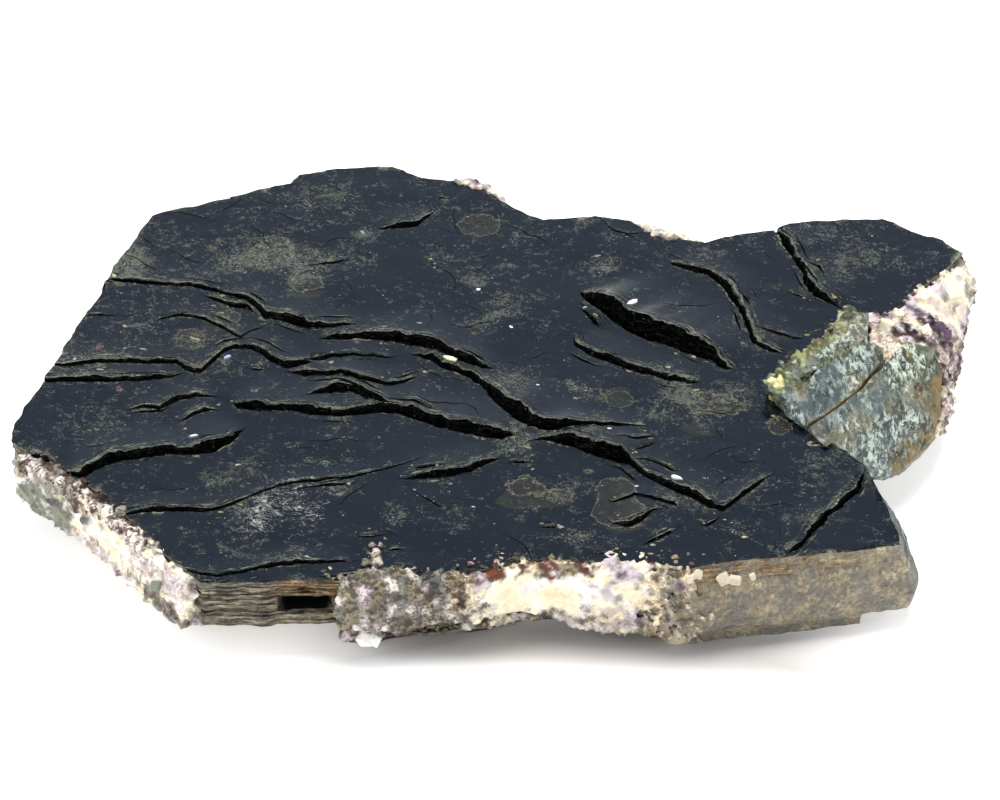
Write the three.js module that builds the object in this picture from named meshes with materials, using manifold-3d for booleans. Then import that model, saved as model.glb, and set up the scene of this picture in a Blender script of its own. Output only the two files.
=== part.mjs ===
// A polished annite specimen: one black mica book, lying on its cleavage face, with a grey mica crystal
// grown through its right-hand corner and feldspar crusts on its edges. Millimetres, +Z up, X along the book
// and +Y to the back.
import * as THREE from "three";
import { mergeVertices } from "three/addons/utils/BufferGeometryUtils.js";
import Module from "manifold-3d";

const wasm = await Module();
wasm.setup();

// Driving dimensions
const bookThickness = 10; // from the cleavage face underneath to the polished face
const seam = 0.3; // clearance between one mineral and the next
const liftPerOpening = 0.75; // how far a crack's back lip stands up, as a share of how wide the crack gapes
const crackDepthPerOpening = 1.5;
const leastCrackDepth = 0.8;
const shortestRamp = 3.5; // a lifted sheet settles back to the face over this and some more for its lift
const rampPerLift = 4;

// The rim of the polished face, clockwise from the left-hand corner. The third number is how far the book's
// side flares outwards below it.
const leftRim = [
  [-54.3, -6.6, 0], [-54.1, -3.4, 0.2], [-52.4, 2.3, 0.2], [-50.6, 7.7, 0], [-48.8, 14.6, 0.3],
  [-46.5, 22, 0], [-45.3, 27.2, 0.2], [-41.3, 38.4, 0],
];
const backRim = [
  [-38.7, 39.9, 0], [-35.1, 40.8, 0.4], [-30.2, 43.2, 0], [-24.8, 45.4, 0.3], [-23.7, 47.2, 0],
  [-19.4, 48.5, 0.4], [-12.1, 49.2, 0], [-8.6, 46.7, 0.3], [-2.1, 45.2, 0], [0.3, 43, 0.2],
  [4.8, 38.4, 0], [6.4, 37.4, 0], [12.7, 38.2, 0.4], [17.2, 37.3, 0], [20.4, 34.1, 0.3], [25.8, 32.7, 0],
  [30.6, 34.6, 0.3], [34.6, 35.2, 0], [36.3, 36.7, 0.3], [39.1, 37.2, 0], [47.8, 37.8, 0.3], [51, 35, 0],
  [54.6, 33.1, 0], [56.9, 30.2, 0],
];
const rightRecess = [
  [54.2, 26, 0], [51.2, 23.3, 0], [48.9, 20, 0], [46.8, 17.8, 0], [43.2, 18.1, 0], [41.2, 16.2, 0],
  [38, 11.4, 0], [35.2, 9.5, 0], [32.3, 4.7, 0], [32.2, 1, 0], [33.7, -1.7, 0], [35.4, -4.2, 0],
  [37.3, -6.9, 0], [39.9, -8.4, 0],
];
const rightBevel = [
  [42.1, -11, 1.5], [42.9, -14, 3.2], [43.7, -18, 3.6], [44.5, -22, 3.5], [45.2, -25.5, 2.8],
];
const frontRim = [
  [39.9, -26.5, 2.2], [34.2, -27.3, 2.6], [28.7, -27.9, 3], [23, -29.4, 2.8], [20.4, -30.1, 2.5],
  [16.6, -28.9, 1.6], [12.3, -28.9, 0], [7.7, -27.7, 0], [3, -28.2, 0], [-1.8, -30, 0], [-8.4, -30.4, 0],
  [-13, -31.6, 0], [-17.8, -31.6, 0], [-24.8, -31.9, 0.3], [-31.2, -31.9, 0],
];
const lowerLeftRim = [
  [-34.4, -28.3, 0], [-38.5, -22.8, 0], [-41.7, -18.5, 0], [-44.8, -14.9, 0], [-48.8, -11.4, 0],
  [-51.5, -9.5, 0],
];
const rim = [...leftRim, ...backRim, ...rightRecess, ...rightBevel, ...frontRim, ...lowerLeftRim];

// The sheets that the book is made of, lowest first: height of the top of the sheet, how far its rim is drawn
// in, and the share of the side's flare that it takes.
const sheets = [
  { top: 1.4, inset: 1.5, flare: 0.88 },
  { top: 3.3, inset: 0.7, flare: 0.95 },
  { top: 5, inset: 0.2, flare: 0.88 },
  { top: 6.4, inset: 0.5, flare: 0.76 },
  { top: 7.8, inset: 0.1, flare: 0.52 },
  { top: 9, inset: 0.35, flare: 0.26 },
  { top: bookThickness, inset: 0, flare: 0 },
];
// Where the lowest sheets have broken away.
const brokenAway = [
  { height: 3.7, outline: [[-60, -9], [-60, -40], [-16.5, -40], [-16.5, -27.5], [-36, -24.5]] },
  { height: 1.7, outline: [[41.6, -22], [60, -18], [60, -40], [41.6, -40]] },
];
const sidePit = { left: -22.6, right: -17.3, low: 5.4, high: 7.7, front: -34, back: -28.2 };

// Cracks in the polished face. Each point is x, y and how wide the crack gapes there.
const cracks = [
  [[-45, 24.9, 0.2], [-37.4, 23.7, 0.4], [-32.6, 22.3, 0.4], [-28.2, 20, 0.4], [-26.5, 17.2, 0.9],
    [-22.9, 15.9, 1], [-18.8, 15.3, 0.6], [-14.8, 15.6, 0.1]],
  [[-34.3, 21.8, 0.1], [-30.4, 19.3, 0.5], [-27.5, 17.8, 0.3]],
  [[-40.1, 15.8, 0.1], [-37, 17.4, 0.3], [-33.2, 16.4, 0.4], [-29.1, 12.9, 0.4], [-26.8, 15.6, 0.2]],
  [[-51.8, 7.8, 0.3], [-44.7, 8.1, 0.4], [-36.4, 8.1, 0.4], [-34, 6.4, 0.4], [-31, 10.2, 0.5],
    [-28.3, 11.2, 0.5], [-25.2, 8.7, 0.6], [-22.6, 7.8, 0.8], [-19.4, 8.4, 0.2]],
  [[-53, 4.6, 0.4], [-43.6, 4.6, 0.5], [-37, 5.3, 0.4], [-35, 6.2, 0.1]],
  [[-20.6, 12.9, 0.6], [-14.8, 13.2, 0.7], [-10.3, 12.7, 0.8], [-6.2, 10.8, 1.2], [-2.4, 8.1, 1.2],
    [1, 6.7, 0.2]],
  [[-9.4, 10.1, 0.4], [-5.8, 7.6, 0.7], [-2.1, 5.6, 0.7], [0.1, 2.7, 0.9], [1.6, 0.1, 1.1], [4, -2.6, 1.4],
    [7.6, -4.6, 1.4], [10.4, -4.5, 0.3]],
  [[-22.1, 8.2, 0.1], [-18.4, 9.4, 0.3], [-13.7, 9.6, 0.3], [-10.6, 9.6, 0.1]],
  [[-24.1, 6.5, 0.2], [-19.6, 5.9, 0.6], [-15.7, 5, 0.5], [-11.7, 4, 0.3], [-7.8, 6.3, 0.1]],
  [[-18, 4.6, 0.2], [-14, 1.8, 0.5], [-12, 1, 0.2]],
  [[-29.8, 1, 0.2], [-26.3, -0.3, 0.8], [-22.2, -0.3, 0.8], [-17.5, -1.1, 0.7], [-12.2, -0.6, 0.8],
    [-8.2, -2.2, 1.2], [-3.5, -4.4, 1.3], [1.3, -5.8, 1.2], [4.4, -5.7, 0.2]],
  [[-21.8, 1.7, 0.2], [-17.5, 2.9, 0.5], [-13.9, 1.3, 0.6], [-11.9, 0.6, 0.2]],
  [[3.9, -7, 0.2], [5.6, -6.7, 0.5], [8.9, -7, 1.1], [12.9, -9.1, 1.5], [15.7, -11, 1], [18.9, -14.4, 0.7],
    [22.1, -16.4, 0.7], [25.8, -19.5, 0.5], [28.2, -16.6, 0.6], [32.4, -11.8, 0.1]],
  [[16.6, -10.6, 0.1], [18.4, -10.6, 0.4], [21.5, -12.7, 0.2]],
  [[12.6, -17.3, 0.2], [15.2, -16.9, 0.4], [20.3, -18, 0.4], [22, -19.8, 0.5], [24.2, -21.8, 0.2]],
  [[12.4, -20, 0.2], [13.5, -21.5, 0.5], [15.6, -21.8, 0.5], [19.7, -19.1, 0.2]],
  [[10.6, 21.6, 0.5], [14, 18, 1.6], [18.8, 13.4, 1.9], [23.5, 10.6, 2], [26.4, 8, 1.2], [28.6, 6.6, 0.2]],
  [[10.1, 19.2, 0.2], [11.8, 16.9, 0.4], [13, 14.8, 0.2]],
  [[9.5, 13.8, 0.2], [10.2, 11.2, 0.5], [13.8, 8.7, 0.6], [18.2, 6.3, 0.6], [24.6, 4.5, 0.2]],
  [[20.9, 28.7, 0.2], [26.3, 25.7, 0.5], [28.6, 21, 0.6], [30.2, 14.6, 0.6], [31.2, 11.3, 0.5],
    [34.2, 10, 0.2]],
  [[30.9, 15, 0.1], [34, 13.4, 0.4], [36.8, 13, 0.2]],
  [[34.6, 36.2, 0.5], [36.4, 29.1, 0.6], [38.4, 22.3, 0.7], [41, 19.4, 0.3]],
  [[-14.1, 35.2, 0.2], [-9.4, 36.2, 0.6], [-6.9, 39.1, 0.2]],
  [[-48.2, -12.6, 0.4], [-45.4, -13, 0.6], [-42.8, -10.6, 0.9], [-36.5, -9.2, 1.1], [-30.6, -8.2, 0.9],
    [-27.5, -4.2, 0.3]],
  [[-40.4, -19.8, 0.3], [-36, -19.2, 0.5], [-30.3, -19.2, 0.2]],
  [[-42.1, -1.1, 0.1], [-37.7, -0.6, 0.4], [-33.6, 1.8, 0.4], [-30.2, 1.5, 0.1]],
  [[-10.6, -13.7, 0.3], [-4.2, -12.8, 0.7], [-0.7, -10.9, 0.7], [1.8, -9.6, 0.1]],
  [[-31, -30.4, 0.3], [-28.4, -30.4, 0.4], [-23, -28.8, 0.4], [-14, -28, 0.2]],
  [[32.6, -26.1, 0.5], [36.2, -22.4, 0.6], [39.4, -17.8, 0.5], [41.6, -12.8, 0.2]],
];

// The grey crystal's tablets. Each corner is x, y, height of the top and height of the foot.
const crystalTablets = [
  [[31.8, 0.6, 12, 0.4], [33.4, 3.2, 12.2, 0.4], [35.2, 6.2, 12.4, 0.4], [37.7, 8.3, 12.4, 0.4],
    [40.2, 11.7, 12.3, 0.4], [42.1, 15.2, 12.1, 0.4], [44.4, 15.6, 11.8, 0.4], [43.6, 9, 12.6, 0.4],
    [37.8, 2.2, 12.6, 0.4], [33.6, -1.4, 12, 0.4]],
  [[33.4, -2.2, 11.9, 0.4], [37.4, 2.6, 13.1, 0.4], [43.1, 8.8, 13, 0.4], [45.6, 8.8, 11.6, 0.4],
    [45.5, 7.4, 11, 0.4], [42.2, 2, 10.9, 0.4], [38.8, -2, 10.9, 0.4], [35.6, -5, 10.8, 0.4]],
  [[36, -5.4, 10.9, 8.4], [39.2, -2.2, 11.2, 8.6], [42.6, 1.8, 11.2, 8.4], [45.9, 6.9, 11.2, 8.4],
    [48.4, 11, 11.2, 8.4], [51.6, 10.2, 10.6, 8.4], [52.2, 6.4, 9.9, 8.2], [51.9, 2.6, 8.6, 7.3],
    [51, -1.2, 7.1, 6], [49.3, -3.6, 6.3, 5.2], [47, -6.2, 5.8, 4.7], [44.8, -7.9, 6.3, 5.1],
    [42.8, -9.6, 8.4, 6.9], [41, -10.4, 9.6, 7.8], [37.8, -8.4, 10.4, 8.2]],
];
const crystalBase = [
  [38, 11], [41.2, 16], [44.2, 16.2], [48.2, 11.6], [50.4, 9.4], [50.2, 5.8], [49, 3.2], [47, 0.8],
  [44.6, -0.8], [40, -3], [36, -4], [34, 0],
];

// Feldspar crusts grown on the book's sides. Each station is x, y on the rim, how far the crust stands out at
// its fullest, and the heights of its top and its foot.
const leftCrust = [
  [-52.6, -8.5, 0.7, 9.4, 4], [-50.4, -10.3, 1.4, 9.7, 3], [-47.4, -12.6, 1.9, 9.8, 2.6],
  [-44.8, -14.9, 2.5, 9.9, 2.4], [-41.7, -18.5, 2.8, 9.8, 2.2], [-38.5, -22.8, 2.5, 9.9, 2.4],
  [-36, -26.2, 2.3, 9.8, 2.6], [-33.6, -29.4, 1.8, 9.7, 2.8], [-32.3, -30.9, 1, 9.2, 3.4],
];
const frontMass = [
  [-16.3, -31.6, 1.2, 8.8, 4.2], [-13, -31.6, 1.9, 9.9, 3.4], [-8.4, -30.4, 2.2, 10, 3],
  [-4.6, -30.3, 2.3, 10.1, 3.6], [-1.8, -30, 2.3, 9.9, 3.8], [3, -28.2, 2.4, 10, 3.4],
  [7.7, -27.7, 3.1, 10.1, 1.7], [12.3, -28.9, 2.9, 10, 1], [16.6, -28.9, 3.9, 10, 0.6],
  [19.4, -29.8, 3.4, 9.7, 0.6], [22.2, -29.6, 2.8, 8.8, 1],
];
const rightCrust = [
  [56.4, 29.4, 2.4, 9.4, 4], [54.4, 26.4, 3.2, 9.6, 2.4], [51.6, 23.4, 5.6, 9.8, 1.4],
  [49.2, 19.8, 7, 10, 0.8], [48.6, 15.6, 6.6, 10.2, 0.8], [48.8, 11.8, 5.3, 10.1, 1.4],
  [50.4, 8.4, 3.4, 9.7, 2.4], [50.9, 5.2, 2.4, 9.1, 4],
  [50.8, 2.2, 1.7, 8.3, 5], [50.1, -0.2, 1.1, 7.3, 5.4],
];
const backPatches = {
  feldspar_patch_back_left: [
    [-6.2, 46.2, 0.7, 9.6, 6.4], [-3.4, 45.5, 1.7, 10.2, 4.6], [-0.8, 44.1, 2, 10.3, 3.8],
    [1.6, 41.7, 0.8, 9.5, 6],
  ],
  feldspar_patch_back_right: [
    [16.8, 37.6, 0.8, 9.4, 6.2], [19.4, 35.1, 1.7, 10.2, 4.4], [22.6, 33.5, 1.9, 10.2, 4],
    [26, 32.8, 0.8, 9.4, 6],
  ],
};
const crustStep = 1.9; // size of the feldspar's grains along a crust
const crustRoot = { thin: 1.4, wide: 4.5 }; // how far a crust reaches in behind the line of its stations
const crustRoughness = 0.34;

// Steady pseudo-random number from -1 to 1 for a whole number.
function chance(n) {
  const s = Math.sin(n * 127.1 + 11.7) * 43758.5453;
  return 2 * (s - Math.floor(s)) - 1;
}

function solidOf(geometry) {
  for (const name of Object.keys(geometry.attributes)) {
    if (name !== "position") geometry.deleteAttribute(name);
  }
  const merged = mergeVertices(geometry, 1e-4);
  const vertProperties = merged.attributes.position.array;
  const triVerts = new Uint32Array(merged.index.array);
  return new wasm.Manifold(new wasm.Mesh({ numProp: 3, vertProperties, triVerts }));
}

function geometryOf(solid) {
  const { vertProperties, numProp, triVerts } = solid.getMesh();
  const geometry = new THREE.BufferGeometry();
  geometry.setAttribute("position", new THREE.BufferAttribute(vertProperties, numProp));
  geometry.setIndex(new THREE.BufferAttribute(triVerts, 1));
  return geometry;
}

// The largest single piece of a solid: a cut can leave slivers behind.
function largest(solid) {
  return solid.decompose().reduce((a, b) => (b.volume() > a.volume() ? b : a));
}

// A flat outline as an upright solid between two heights.
function prism(outline, low, high) {
  const shape = new THREE.Shape(outline.map(([x, y]) => new THREE.Vector2(x, y)));
  const geometry = new THREE.ExtrudeGeometry(shape, { depth: high - low, bevelEnabled: false });
  return solidOf(geometry.translate(0, 0, low));
}

// The same for an outline whose corners each have a top and a foot height of their own.
function tablet(corners, extra = 0) {
  const ring = grown(corners, () => extra).toReversed();
  const n = ring.length;
  const points = [
    ...ring.map(([x, y, top]) => [x, y, top + extra]),
    ...ring.map(([x, y, , foot]) => [x, y, foot - extra]),
  ];
  const cap = THREE.ShapeUtils.triangulateShape(ring.map(([x, y]) => new THREE.Vector2(x, y)), []);
  const faces = cap.flatMap(([a, b, c]) => [[a, b, c], [n + c, n + b, n + a]]);
  for (let i = 0; i < n; i++) {
    const j = (i + 1) % n;
    faces.push([i, n + i, n + j], [i, n + j, j]);
  }
  return closedSolid(points, faces);
}

// A solid of one outline of points after another, joined in order and closed at both ends.
function sweep(sections) {
  const k = sections[0].length;
  const faces = [];
  for (let s = 0; s + 1 < sections.length; s++) {
    for (let i = 0; i < k; i++) {
      const [a, b] = [s * k + i, s * k + ((i + 1) % k)];
      faces.push([a, b, b + k], [a, b + k, a + k]);
    }
  }
  const last = (sections.length - 1) * k;
  for (let i = 1; i + 1 < k; i++) faces.push([0, i + 1, i], [last, last + i, last + i + 1]);
  return closedSolid(sections.flat(), faces);
}

// Points and triangles as a solid, turned outwards if they faced inwards.
function closedSolid(points, faces) {
  const build = (triangles) => {
    const geometry = new THREE.BufferGeometry();
    geometry.setAttribute("position", new THREE.Float32BufferAttribute(points.flat(), 3));
    geometry.setIndex(triangles.flat());
    return solidOf(geometry);
  };
  const solid = build(faces);
  return solid.volume() > 0 ? solid : build(faces.map(([a, b, c]) => [a, c, b]));
}

// The outward direction at each corner of an outline that runs clockwise from above, longer at sharp corners.
function outwards(outline, closed = true) {
  const n = outline.length;
  const step = ([x0, y0], [x1, y1]) => new THREE.Vector2(y0 - y1, x1 - x0).normalize();
  return outline.map((point, i) => {
    const [last, next] = [outline[(i + n - 1) % n], outline[(i + 1) % n]];
    const before = closed || i > 0 ? step(last, point) : step(point, next);
    const after = closed || i < n - 1 ? step(point, next) : before;
    const middle = before.clone().add(after).normalize();
    return middle.divideScalar(Math.max(0.6, middle.dot(before)));
  });
}

// An outline with each corner moved outwards by its own distance.
function grown(outline, distanceOf) {
  const directions = outwards(outline);
  return outline.map((corner, i) => {
    const distance = distanceOf(corner);
    const [x, y, ...rest] = corner;
    return [x + directions[i].x * distance, y + directions[i].y * distance, ...rest];
  });
}

// The book as a stack of sheets, or with extra the space that it needs around it.
function stackOfSheets(extra = 0) {
  let low = 0;
  const solids = sheets.map(({ top, inset, flare }) => {
    const outline = grown(rim, (corner) => corner[2] * flare - inset + extra);
    const solid = prism(outline, low - extra, top + extra);
    low = top - 0.05;
    return solid;
  });
  return solids.reduce((a, b) => a.add(b));
}

// The level direction at right angles to the line between a crack's ends, on the side that is lifted.
function liftedSide(line) {
  const [x0, y0] = line[0];
  const [x1, y1] = line.at(-1);
  const across = new THREE.Vector2(y0 - y1, x1 - x0).normalize();
  return across.y + 0.3 * across.x < 0 ? across.negate() : across;
}

function crackSlot(line) {
  const back = liftedSide(line);
  const at = (x, y, distance, z) => [x + back.x * distance, y + back.y * distance, z];
  return sweep(line.map(([x, y, opening]) => {
    const floor = bookThickness - leastCrackDepth - crackDepthPerOpening * opening;
    return [
      at(x, y, -0.5 * opening, bookThickness + 4), at(x, y, 0.5 * opening, bookThickness + 4),
      at(x, y, 0.4 * opening, floor), at(x, y, -0.1 * opening, floor),
    ];
  }));
}

function liftedSheet(line) {
  const back = liftedSide(line);
  const at = (x, y, distance, z) => [x + back.x * distance, y + back.y * distance, z];
  return sweep(line.map(([x, y, opening]) => {
    const lift = liftPerOpening * opening;
    const lip = 0.5 * opening - 0.05;
    return [
      at(x, y, lip, bookThickness - 0.3), at(x, y, lip, bookThickness + lift),
      at(x, y, lip + shortestRamp + rampPerLift * lift, bookThickness - 0.04),
    ];
  }));
}

function annitePlate() {
  const lifted = cracks.map(liftedSheet).reduce((a, b) => a.add(b));
  const aboveTheFace = prism(rim, bookThickness - 0.5, bookThickness + 4);
  let plate = stackOfSheets().add(lifted.intersect(aboveTheFace));
  for (const line of cracks) plate = plate.subtract(crackSlot(line));
  for (const { height, outline } of brokenAway) plate = plate.subtract(prism(outline, -1, height));
  const { left, right, low, high, front, back } = sidePit;
  const mouth = [[left, front], [left - 0.4, back], [right - 0.6, back + 0.5], [right, front]];
  return largest(plate.subtract(prism(mouth, low, high)));
}

// The grey crystal, or with extra the space that it needs around it.
function greyCrystal(extra = 0) {
  const tablets = crystalTablets.map((corners) => tablet(corners, extra));
  const base = prism(grown(crystalBase, () => extra), extra ? -1 : 0.4, 9.5);
  return tablets.reduce((a, b) => a.add(b), base);
}

// A crust of coarse grains on a side of the book. Its stations run clockwise, as the rim does.
function crust(stations, seed, root = crustRoot.thin) {
  const steps = [];
  stations.forEach((from, i) => {
    const to = stations[i + 1];
    if (!to) return;
    const count = Math.max(1, Math.round(Math.hypot(to[0] - from[0], to[1] - from[1]) / crustStep));
    for (let s = 0; s < count; s++) steps.push(from.map((v, j) => v + ((to[j] - v) * s) / count));
  });
  steps.push(stations.at(-1));
  const directions = outwards(steps, false);
  const profile = [
    [0, 1], [0.42, 0.97], [0.66, 0.84], [0.84, 0.66], [0.96, 0.47], [1, 0.28], [0.94, 0.11], [0.6, 0],
  ];
  return sweep(steps.map(([x, y, out, top, foot], s) => {
    const { x: dx, y: dy } = directions[s];
    const height = top - foot;
    const at = (distance, z) => [x + dx * distance, y + dy * distance, z];
    const face = profile.map(([share, level], i) => {
      const n = seed * 1000 + s * 10 + i;
      const rough = crustRoughness * Math.min(1, out / 2);
      const uneven = (i ? 0.5 : 0.3) * rough * chance(n + 0.5);
      return at(share * out + rough * chance(n), foot + level * height + uneven);
    });
    return [at(-root, foot + 0.1 * height), at(-root, top - 0.1), ...face];
  }));
}

const bookSpace = stackOfSheets(seam);
const crystalSpace = greyCrystal(seam);
const lowestFoot = prism([[-80, -80], [-80, 80], [80, 80], [80, -80]], -10, 0.3);

const fitted = (solid) => largest(solid.subtract(bookSpace).subtract(lowestFoot));

const solids = {
  annite_plate: annitePlate(),
  grey_mica_crystal: fitted(greyCrystal()),
  feldspar_crust_left: fitted(crust(leftCrust, 1)),
  feldspar_mass_front: fitted(crust(frontMass, 2)),
  feldspar_crust_right: fitted(crust(rightCrust, 3, crustRoot.wide).subtract(crystalSpace)),
};
Object.entries(backPatches).forEach(([name, stations], i) => {
  solids[name] = fitted(crust(stations, 4 + i));
});

const blackMica = { color: 0x10141d, roughness: 0.18, metalness: 0 };
const greyMica = { color: 0x77807c, roughness: 0.45, metalness: 0 };
const feldspar = { color: 0xd9cdc0, roughness: 0.7, metalness: 0 };

const specimen = new THREE.Group();
for (const [name, solid] of Object.entries(solids)) {
  const look = name === "annite_plate" ? blackMica : name === "grey_mica_crystal" ? greyMica : feldspar;
  const mesh = new THREE.Mesh(geometryOf(solid), new THREE.MeshStandardMaterial(look));
  mesh.name = name;
  specimen.add(mesh);
}

// The frame's origin is under the middle of the specimen.
const bounds = new THREE.Box3().setFromObject(specimen);
const middle = bounds.getCenter(new THREE.Vector3());
specimen.position.set(-middle.x, -middle.y, -bounds.min.z);

export default specimen;
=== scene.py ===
import math

import bpy
import numpy as np
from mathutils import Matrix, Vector, kdtree
from mathutils.geometry import delaunay_2d_cdt


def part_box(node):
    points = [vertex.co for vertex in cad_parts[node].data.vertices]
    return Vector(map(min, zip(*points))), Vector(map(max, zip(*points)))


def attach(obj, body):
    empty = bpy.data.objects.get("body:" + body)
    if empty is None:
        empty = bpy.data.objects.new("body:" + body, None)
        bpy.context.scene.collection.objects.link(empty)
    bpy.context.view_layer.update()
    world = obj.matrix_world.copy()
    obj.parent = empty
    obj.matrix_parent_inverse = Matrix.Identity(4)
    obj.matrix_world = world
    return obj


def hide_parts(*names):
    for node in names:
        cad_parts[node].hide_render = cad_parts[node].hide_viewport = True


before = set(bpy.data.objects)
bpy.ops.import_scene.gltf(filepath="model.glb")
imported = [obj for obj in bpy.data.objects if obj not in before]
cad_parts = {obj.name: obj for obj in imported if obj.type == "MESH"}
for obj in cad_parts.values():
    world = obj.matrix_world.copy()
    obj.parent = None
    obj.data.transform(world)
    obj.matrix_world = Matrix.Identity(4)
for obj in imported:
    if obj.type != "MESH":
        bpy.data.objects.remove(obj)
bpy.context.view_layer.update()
mm = 0.001
print("frame loaded:", sorted(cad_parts))

# The book's rim in millimetres, clockwise from the left-hand corner, as in the CAD. The third number is how
# far the side flares out below.
leftRim = [
    (-54.3, -6.6, 0), (-54.1, -3.4, 0.2), (-52.4, 2.3, 0.2), (-50.6, 7.7, 0), (-48.8, 14.6, 0.3),
    (-46.5, 22, 0), (-45.3, 27.2, 0.2), (-41.3, 38.4, 0),
]
backRim = [
    (-38.7, 39.9, 0), (-35.1, 40.8, 0.4), (-30.2, 43.2, 0), (-24.8, 45.4, 0.3), (-23.7, 47.2, 0),
    (-19.4, 48.5, 0.4), (-12.1, 49.2, 0), (-8.6, 46.7, 0.3), (-2.1, 45.2, 0), (0.3, 43, 0.2), (4.8, 38.4, 0),
    (6.4, 37.4, 0), (12.7, 38.2, 0.4), (17.2, 37.3, 0), (20.4, 34.1, 0.3), (25.8, 32.7, 0), (30.6, 34.6, 0.3),
    (34.6, 35.2, 0), (36.3, 36.7, 0.3), (39.1, 37.2, 0), (47.8, 37.8, 0.3), (51, 35, 0), (54.6, 33.1, 0),
    (56.9, 30.2, 0),
]
rightRecess = [
    (54.2, 26, 0), (51.2, 23.3, 0), (48.9, 20, 0), (46.8, 17.8, 0), (43.2, 18.1, 0), (41.2, 16.2, 0),
    (38, 11.4, 0), (35.2, 9.5, 0), (32.3, 4.7, 0), (32.2, 1, 0), (33.7, -1.7, 0), (35.4, -4.2, 0),
    (37.3, -6.9, 0), (39.9, -8.4, 0),
]
rightBevel = [(42.1, -11, 1.5), (42.9, -14, 3.2), (43.7, -18, 3.6), (44.5, -22, 3.5), (45.2, -25.5, 2.8)]
frontRim = [
    (39.9, -26.5, 2.2), (34.2, -27.3, 2.6), (28.7, -27.9, 3), (23, -29.4, 2.8), (20.4, -30.1, 2.5),
    (16.6, -28.9, 1.6), (12.3, -28.9, 0), (7.7, -27.7, 0), (3, -28.2, 0), (-1.8, -30, 0), (-8.4, -30.4, 0),
    (-13, -31.6, 0), (-17.8, -31.6, 0), (-24.8, -31.9, 0.3), (-31.2, -31.9, 0),
]
lowerLeftRim = [
    (-34.4, -28.3, 0), (-38.5, -22.8, 0), (-41.7, -18.5, 0), (-44.8, -14.9, 0), (-48.8, -11.4, 0),
    (-51.5, -9.5, 0),
]
rim = leftRim + backRim + rightRecess + rightBevel + frontRim + lowerLeftRim

# The outlines are drawn from the book's own corner, so they follow the CAD wherever its origin lies.
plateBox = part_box("annite_plate")
shiftX = plateBox[0][0] / mm - min(x for x, y, flare in rim)
shiftY = plateBox[1][1] / mm - max(y for x, y, flare in rim)
bookThickness = 10
print("plate box", plateBox, "shift", shiftX, shiftY)


def placed(x, y, z):
    return Vector(((x + shiftX) * mm, (y + shiftY) * mm, z * mm))


def latticeNoise(seed, size=64):
    table = np.random.default_rng(seed).random((size, size)) * 2 - 1

    def noise(x, y=0.0):
        x, y = np.broadcast_arrays(np.asarray(x, float), np.asarray(y, float))
        i, j = np.floor(x).astype(int), np.floor(y).astype(int)
        fx, fy = x - i, y - j
        fx, fy = fx * fx * (3 - 2 * fx), fy * fy * (3 - 2 * fy)
        a, b = table[i % size, j % size], table[(i + 1) % size, j % size]
        c, d = table[i % size, (j + 1) % size], table[(i + 1) % size, (j + 1) % size]
        return (a * (1 - fx) + b * fx) * (1 - fy) + (c * (1 - fx) + d * fx) * fy

    return noise


def smoothStep(low, high, value):
    t = np.clip((value - low) / (high - low), 0, 1)
    return t * t * (3 - 2 * t)


# Soft round spots in plan, each x, y, radius and strength, added up at every point.
def spotted(x, y, spots):
    total = np.zeros(len(x))
    for spotX, spotY, radius, strength in spots:
        total += strength * np.exp(-(((x - spotX) ** 2 + (y - spotY) ** 2) / radius**2) ** 1.5)
    return total


def insidePolygon(x, y, polygon):
    inside = np.zeros(len(x), bool)
    for (x0, y0), (x1, y1) in zip(polygon, np.roll(polygon, -1, axis=0)):
        crosses = (y0 > y) != (y1 > y)
        if crosses.any():
            at = x0 + (y[crosses] - y0) * (x1 - x0) / (y1 - y0)
            inside[crosses] ^= x[crosses] < at
    return inside


# For points, their place along a straight piece as a share of it, its length, and how far off they lie.
def offPiece(x, y, x0, y0, x1, y1):
    length = math.hypot(x1 - x0, y1 - y0)
    share = np.clip(((x - x0) * (x1 - x0) + (y - y0) * (y1 - y0)) / length**2, 0, 1)
    return share, length, np.hypot(x - x0 - share * (x1 - x0), y - y0 - share * (y1 - y0))


# How far along a line each of its points lies.
def runAlong(points):
    return np.concatenate([[0], np.cumsum(np.hypot(*np.diff(points, axis=0).T))])


# For points near the rim: how far along it they are, the side's flare there, and how far off it they are.
def nearestRim(x, y):
    best = np.full(len(x), 1e9)
    along, flare = np.zeros(len(x)), np.zeros(len(x))
    run = 0.0
    for (x0, y0, flare0), (x1, y1, flare1) in zip(rim, rim[1:] + rim[:1]):
        share, length, gap = offPiece(x, y, x0, y0, x1, y1)
        closer = gap < best
        best[closer] = gap[closer]
        along[closer] = run + share[closer] * length
        flare[closer] = flare0 + share[closer] * (flare1 - flare0)
        run += length
    return along, flare, best


def cornersOf(points, faces):
    return [points[faces[:, n]] for n in range(3)]


# Triangles over a region of the plane that keep every given edge, and the source point of each vertex, or -1.
def planTriangles(plan, edges, outline):
    made = delaunay_2d_cdt([Vector(p) for p in plan], edges, [], 0, 1e-4)
    points = np.array([tuple(p) for p in made[0]])
    faces = np.array([tuple(f) for f in made[2]])
    source = np.array([ids[0] if ids else -1 for ids in made[3]])
    centres = points[faces].mean(axis=1)
    faces = faces[insidePolygon(centres[:, 0], centres[:, 1], outline)]
    a, b, c = cornersOf(points, faces)
    turned = (b[:, 0] - a[:, 0]) * (c[:, 1] - a[:, 1]) - (b[:, 1] - a[:, 1]) * (c[:, 0] - a[:, 0]) < 0
    faces[turned] = faces[turned][:, ::-1]
    return points, faces, source


# One value of every item of a mesh, as rows of so many numbers.
def readAll(items, key, width, kind=float):
    values = np.empty(len(items) * width, kind)
    items.foreach_get(key, values)
    return values.reshape(-1, width)


def linked(name, data):
    obj = bpy.data.objects.new(name, data)
    bpy.context.collection.objects.link(obj)
    return obj


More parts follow.
